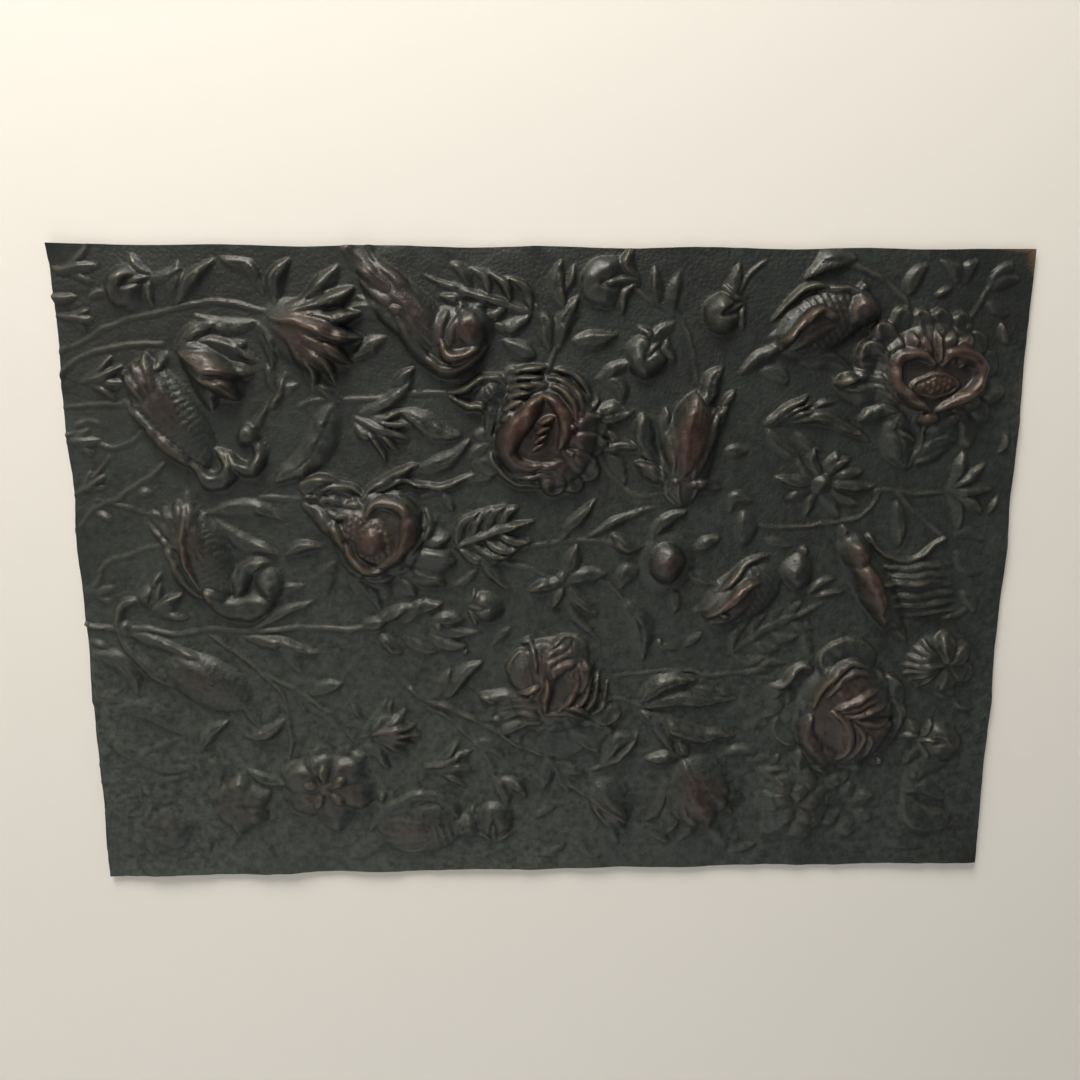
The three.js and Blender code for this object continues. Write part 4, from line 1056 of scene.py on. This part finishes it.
def edge_in(along, length):
    """How far the cut edge lies inside its straight line."""
    t = along / length + 0.5
    wave = EDGE_WAVE / 2 * (1 - np.cos(2 * np.pi * t * length / EDGE_WAVE_PITCH))
    return wave * np.clip(np.minimum(6 * t, 6 * (1 - t)), 0, 1)


def sheet_grid(bm, pitch, y_of, turn_over):
    """A grid over the whole sheet, each point set to its depth."""
    across, up = round(WIDTH / pitch), round(HEIGHT / pitch)
    made = bmesh.ops.create_grid(bm, x_segments=across, y_segments=up, size=0.5)["verts"]
    flat = np.array([v.co[:2] for v in made])
    x, z = flat[:, 0] * WIDTH, flat[:, 1] * HEIGHT
    wx = x * (1 - edge_in(z, HEIGHT) / (WIDTH / 2))
    wz = z * (1 - edge_in(x, WIDTH) / (HEIGHT / 2))
    y = y_of(wx, wz)
    for v, a, b, c in zip(made, wx * MM, y * MM, wz * MM):
        v.co = (a, b, c)
    faces = list({f for v in made for f in v.link_faces})
    if turn_over:
        bmesh.ops.reverse_faces(bm, faces=faces)
    edges = [e for e in {e for f in faces for e in f.edges} if e.is_boundary]
    return edges


def beaten_sheet():
    """The plaque's one piece: front, back and cut edge in one mesh, with its worn marks and its painted
    shade, highlight and reflected light as attributes.
    """
    bm = bmesh.new()
    front = sheet_grid(bm, FRONT_PITCH, lambda x, z: -(SHEET + sample(relief, x, z)), False)
    back = sheet_grid(bm, BACK_PITCH, lambda x, z: -sample(hollow, x, z), True)
    bmesh.ops.bridge_loops(bm, edges=front + back)
    bmesh.ops.triangulate(bm, faces=bm.faces[:])
    mesh = bpy.data.meshes.new("beaten_sheet")
    bm.to_mesh(mesh)
    bm.free()
    rough = bpy.data.objects.new("beaten_sheet_rough", mesh)
    bpy.context.collection.objects.link(rough)
    thin = rough.modifiers.new("thin", "DECIMATE")
    thin.ratio = min(1.0, MOST_FACES / len(mesh.polygons))
    done = bpy.data.meshes.new_from_object(rough.evaluated_get(bpy.context.evaluated_depsgraph_get()))
    bpy.data.objects.remove(rough)
    bpy.data.meshes.remove(mesh)
    done.name = "beaten_sheet"
    at = np.empty(len(done.vertices) * 3)
    done.vertices.foreach_get("co", at)
    at = at.reshape(-1, 3) / MM
    x, y, z = at[:, 0], at[:, 1], at[:, 2]
    front_side = np.abs(y + SHEET + sample(relief, x, z)) < np.abs(y + sample(hollow, x, z))
    for name, field in wear_and_painted_light.items():
        value = np.where(front_side, sample(field, x, z), 0.3 * (name == "plain"))
        done.attributes.new(name, "FLOAT", "POINT").data.foreach_set("value", value.astype(np.float32))
    done.shade_smooth()
    done.set_sharp_from_angle(angle=math.radians(65))
    piece = bpy.data.objects.new("beaten_sheet", done)
    bpy.context.collection.objects.link(piece)
    return piece




def linear(hex_colour):
    """An sRGB hex colour as linear values."""
    parts = [int(hex_colour[i : i + 2], 16) / 255 for i in (0, 2, 4)]
    return tuple(c / 12.92 if c <= 0.04045 else ((c + 0.055) / 1.055) ** 2.4 for c in parts) + (1.0,)


def add(tree, kind, settings, links):
    """Add a node with its settings, and link outputs to its inputs. Sockets go by name or by place."""
    made = tree.nodes.new(kind)
    for name, value in settings.items():
        if hasattr(made, str(name)):
            setattr(made, name, value)
        else:
            made.inputs[name].default_value = value
    for name, output in links.items():
        tree.links.new(output, made.inputs[name])
    return made


def new_material(name):
    """A material with an empty node tree, and the tree."""
    made = bpy.data.materials.new(name)
    made.use_nodes = True
    made.node_tree.nodes.clear()
    return made, made.node_tree


# Patterns of the patina and of the punched ground, in millimetres, drawn a little coarse so that they show.
CLOUD, FLECK, GRAIN, PUNCH = 45.0, 3.0, 1.1, 1.9
PUNCH_DEEP, GRAIN_DEEP = 0.22, 0.2


def patinated_copper():
    """Copper sheet beaten thin, chemically blackened and waxed: near black with a green cast, matt and pitted
    where the ground is punched, warm brown where the high relief has been rubbed, a painted grey highlight on
    its crests (partly polished metal), painted shade in its hollows, a painted pale veil of reflected light
    at the lower right, and the top left corner rubbed bare."""
    made, tree = new_material("patinated_copper")
    where = add(tree, "ShaderNodeTexCoord", {}, {}).outputs["Object"]
    worn, edge, sunk, plain, painted_haze, rubbed = (
        add(tree, "ShaderNodeAttribute", {"attribute_name": name}, {}).outputs["Fac"] for name in wear_and_painted_light
    )

    cloud = add(tree, "ShaderNodeTexNoise", {"Scale": 1 / (CLOUD * MM), "Detail": 3.0}, {"Vector": where})
    fleck = add(tree, "ShaderNodeTexNoise", {"Scale": 1 / (FLECK * MM), "Detail": 3.0}, {"Vector": where})
    grain = add(tree, "ShaderNodeTexNoise", {"Scale": 1 / (GRAIN * MM), "Detail": 2.0}, {"Vector": where})
    punch = add(tree, "ShaderNodeTexVoronoi", {"Scale": 1 / (PUNCH * MM)}, {"Vector": where})
    clouded = add(tree, "ShaderNodeMapRange", {1: 0.35, 2: 0.65}, {0: cloud.outputs["Fac"]}).outputs[0]
    flecked = add(tree, "ShaderNodeMapRange", {1: 0.3, 2: 0.7}, {0: fleck.outputs["Fac"]}).outputs[0]

    mix, sums = "ShaderNodeMix", "ShaderNodeMath"
    colour = {"data_type": "RGBA"}
    black = add(tree, mix, colour | {6: linear("121615"), 7: linear("1e2422")}, {0: clouded}).outputs[2]
    brown = add(tree, mix, colour | {6: linear("25140f"), 7: linear("3b1e15")}, {0: flecked}).outputs[2]
    body = add(tree, mix, colour, {0: worn, 6: black, 7: brown}).outputs[2]
    # crests lightened to grey-olive: partly polished metal, partly a painted highlight
    crest = add(tree, mix, colour | {7: linear("504a3c")}, {0: edge, 6: body}).outputs[2]
    # painted shade: near black in the hollows and chased grooves
    painted_shade_in_hollows = add(tree, mix, colour | {7: linear("0d0e0d")}, {0: sunk, 6: crest}).outputs[2]
    # painted reflection: a grey veil of reflected light over the lower right, broken by flecks
    painted_haze_flecks = add(tree, sums, {"operation": "MULTIPLY"}, {0: painted_haze, 1: flecked}).outputs[0]
    painted_reflection_veil = add(tree, mix, colour | {7: linear("444b47")}, {0: painted_haze_flecks, 6: painted_shade_in_hollows}).outputs[2]
    bared = add(tree, mix, colour | {7: linear("6e5538")}, {0: rubbed, 6: painted_reflection_veil}).outputs[2]

    pitted = add(tree, sums, {"operation": "MULTIPLY"}, {0: punch.outputs["Distance"], 1: plain}).outputs[0]
    pits = add(tree, sums, {"operation": "MULTIPLY", 1: PUNCH_DEEP * MM}, {0: pitted}).outputs[0]
    deep = {"operation": "MULTIPLY_ADD", 1: GRAIN_DEEP * MM}
    height = add(tree, sums, deep, {0: grain.outputs["Fac"], 2: pits}).outputs[0]
    bump = add(tree, "ShaderNodeBump", {"Strength": 1.0, "Distance": 1.0}, {"Height": height})

    smooth = add(tree, "ShaderNodeMapRange", {1: 0.0, 2: 1.0, 3: 0.38, 4: 0.5}, {0: plain}).outputs[0]
    sheen = add(tree, sums, {"operation": "MULTIPLY_ADD", 1: 0.16}, {0: flecked, 2: smooth}).outputs[0]
    rough = add(tree, sums, {"operation": "MULTIPLY_ADD", 1: 0.25}, {0: painted_haze, 2: sheen}).outputs[0]
    shader = add(
        tree, "ShaderNodeBsdfPrincipled", {"Metallic": 0.3, "Coat Weight": 0.14, "Coat Roughness": 0.3},
        {"Base Color": bared, "Roughness": rough, "Normal": bump.outputs[0]},
    )
    add(tree, "ShaderNodeOutputMaterial", {}, {"Surface": shader.outputs[0]})
    return made


def wall_paint():
    """Matt off-white emulsion, seen from the front alone so that the plaque's back shows from behind."""
    made, tree = new_material("wall_paint")
    paint = add(tree, "ShaderNodeBsdfPrincipled", {"Base Color": linear("d7d5d1"), "Roughness": 0.85}, {})
    clear = add(tree, "ShaderNodeBsdfTransparent", {}, {})
    behind = add(tree, "ShaderNodeNewGeometry", {}, {}).outputs["Backfacing"]
    shadow = add(tree, "ShaderNodeLightPath", {}, {}).outputs["Is Shadow Ray"]
    through = add(tree, "ShaderNodeMath", {"operation": "MAXIMUM"}, {0: behind, 1: shadow})
    ways = {0: through.outputs[0], 1: paint.outputs[0], 2: clear.outputs[0]}
    mixed = add(tree, "ShaderNodeMixShader", {}, ways)
    add(tree, "ShaderNodeOutputMaterial", {}, {"Surface": mixed.outputs[0]})
    return made


def floor_paint():
    """Matt pale floor paint."""
    made, tree = new_material("floor_paint")
    paint = add(tree, "ShaderNodeBsdfPrincipled", {"Base Color": linear("d4d2ce"), "Roughness": 0.8}, {})
    add(tree, "ShaderNodeOutputMaterial", {}, {"Surface": paint.outputs[0]})
    return made


def plane(name, width, depth, place, paint):
    """A flat stretch of wall or floor."""
    bm = bmesh.new()
    bmesh.ops.create_grid(bm, x_segments=1, y_segments=1, size=0.5)
    bmesh.ops.scale(bm, vec=(width, depth, 1), verts=bm.verts)
    bmesh.ops.transform(bm, matrix=place, verts=bm.verts)
    mesh = bpy.data.meshes.new(name)
    bm.to_mesh(mesh)
    bm.free()
    mesh.materials.append(paint)
    made = bpy.data.objects.new(name, mesh)
    bpy.context.collection.objects.link(made)
    return made


def lamp(name, at, toward, size, watts, colour):
    """A round soft lamp that faces a place."""
    data = bpy.data.lights.new(name, "AREA")
    data.shape, data.size, data.energy, data.color = "DISK", size, watts, linear(colour)[:3]
    made = bpy.data.objects.new(name, data)
    made.location = at
    made.rotation_mode = "QUATERNION"
    made.rotation_quaternion = (Vector(toward) - Vector(at)).to_track_quat("-Z", "Y")
    bpy.context.collection.objects.link(made)


sheet = beaten_sheet()
sheet.data.materials.clear()
sheet.data.materials.append(patinated_copper())
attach(sheet, "root")
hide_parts("relief_panel")

# The room, in metres.
ROOM, WALL_GAP, FLOOR_BELOW = 6.0, 0.0015, 0.75
upright = Matrix.Translation((0, WALL_GAP, 1.5)) @ Matrix.Rotation(math.radians(90), 4, "X")
plane("wall", ROOM, ROOM, upright, wall_paint())
plane("floor", ROOM, ROOM, Matrix.Translation((0, WALL_GAP - ROOM / 2, -FLOOR_BELOW)), floor_paint())

lamp("window", (-1.1, -0.56, -0.25), (0, 0, 0), 0.6, 20.5, "fff8ec")
lamp("room", (0.95, -0.8, -0.3), (0.12, 0, -0.05), 1.4, 6, "fbfaf4")
lamp("behind", (-0.6, 1.2, 0.8), (0, 0, 0), 1.2, 24, "ffffff")

world = bpy.data.worlds.new("studio")
world.use_nodes = True
world.node_tree.nodes["Background"].inputs[0].default_value = linear("f2f1ee")
world.node_tree.nodes["Background"].inputs[1].default_value = 0.27
bpy.context.scene.world = world
bpy.context.scene.view_settings.view_transform = "Standard"
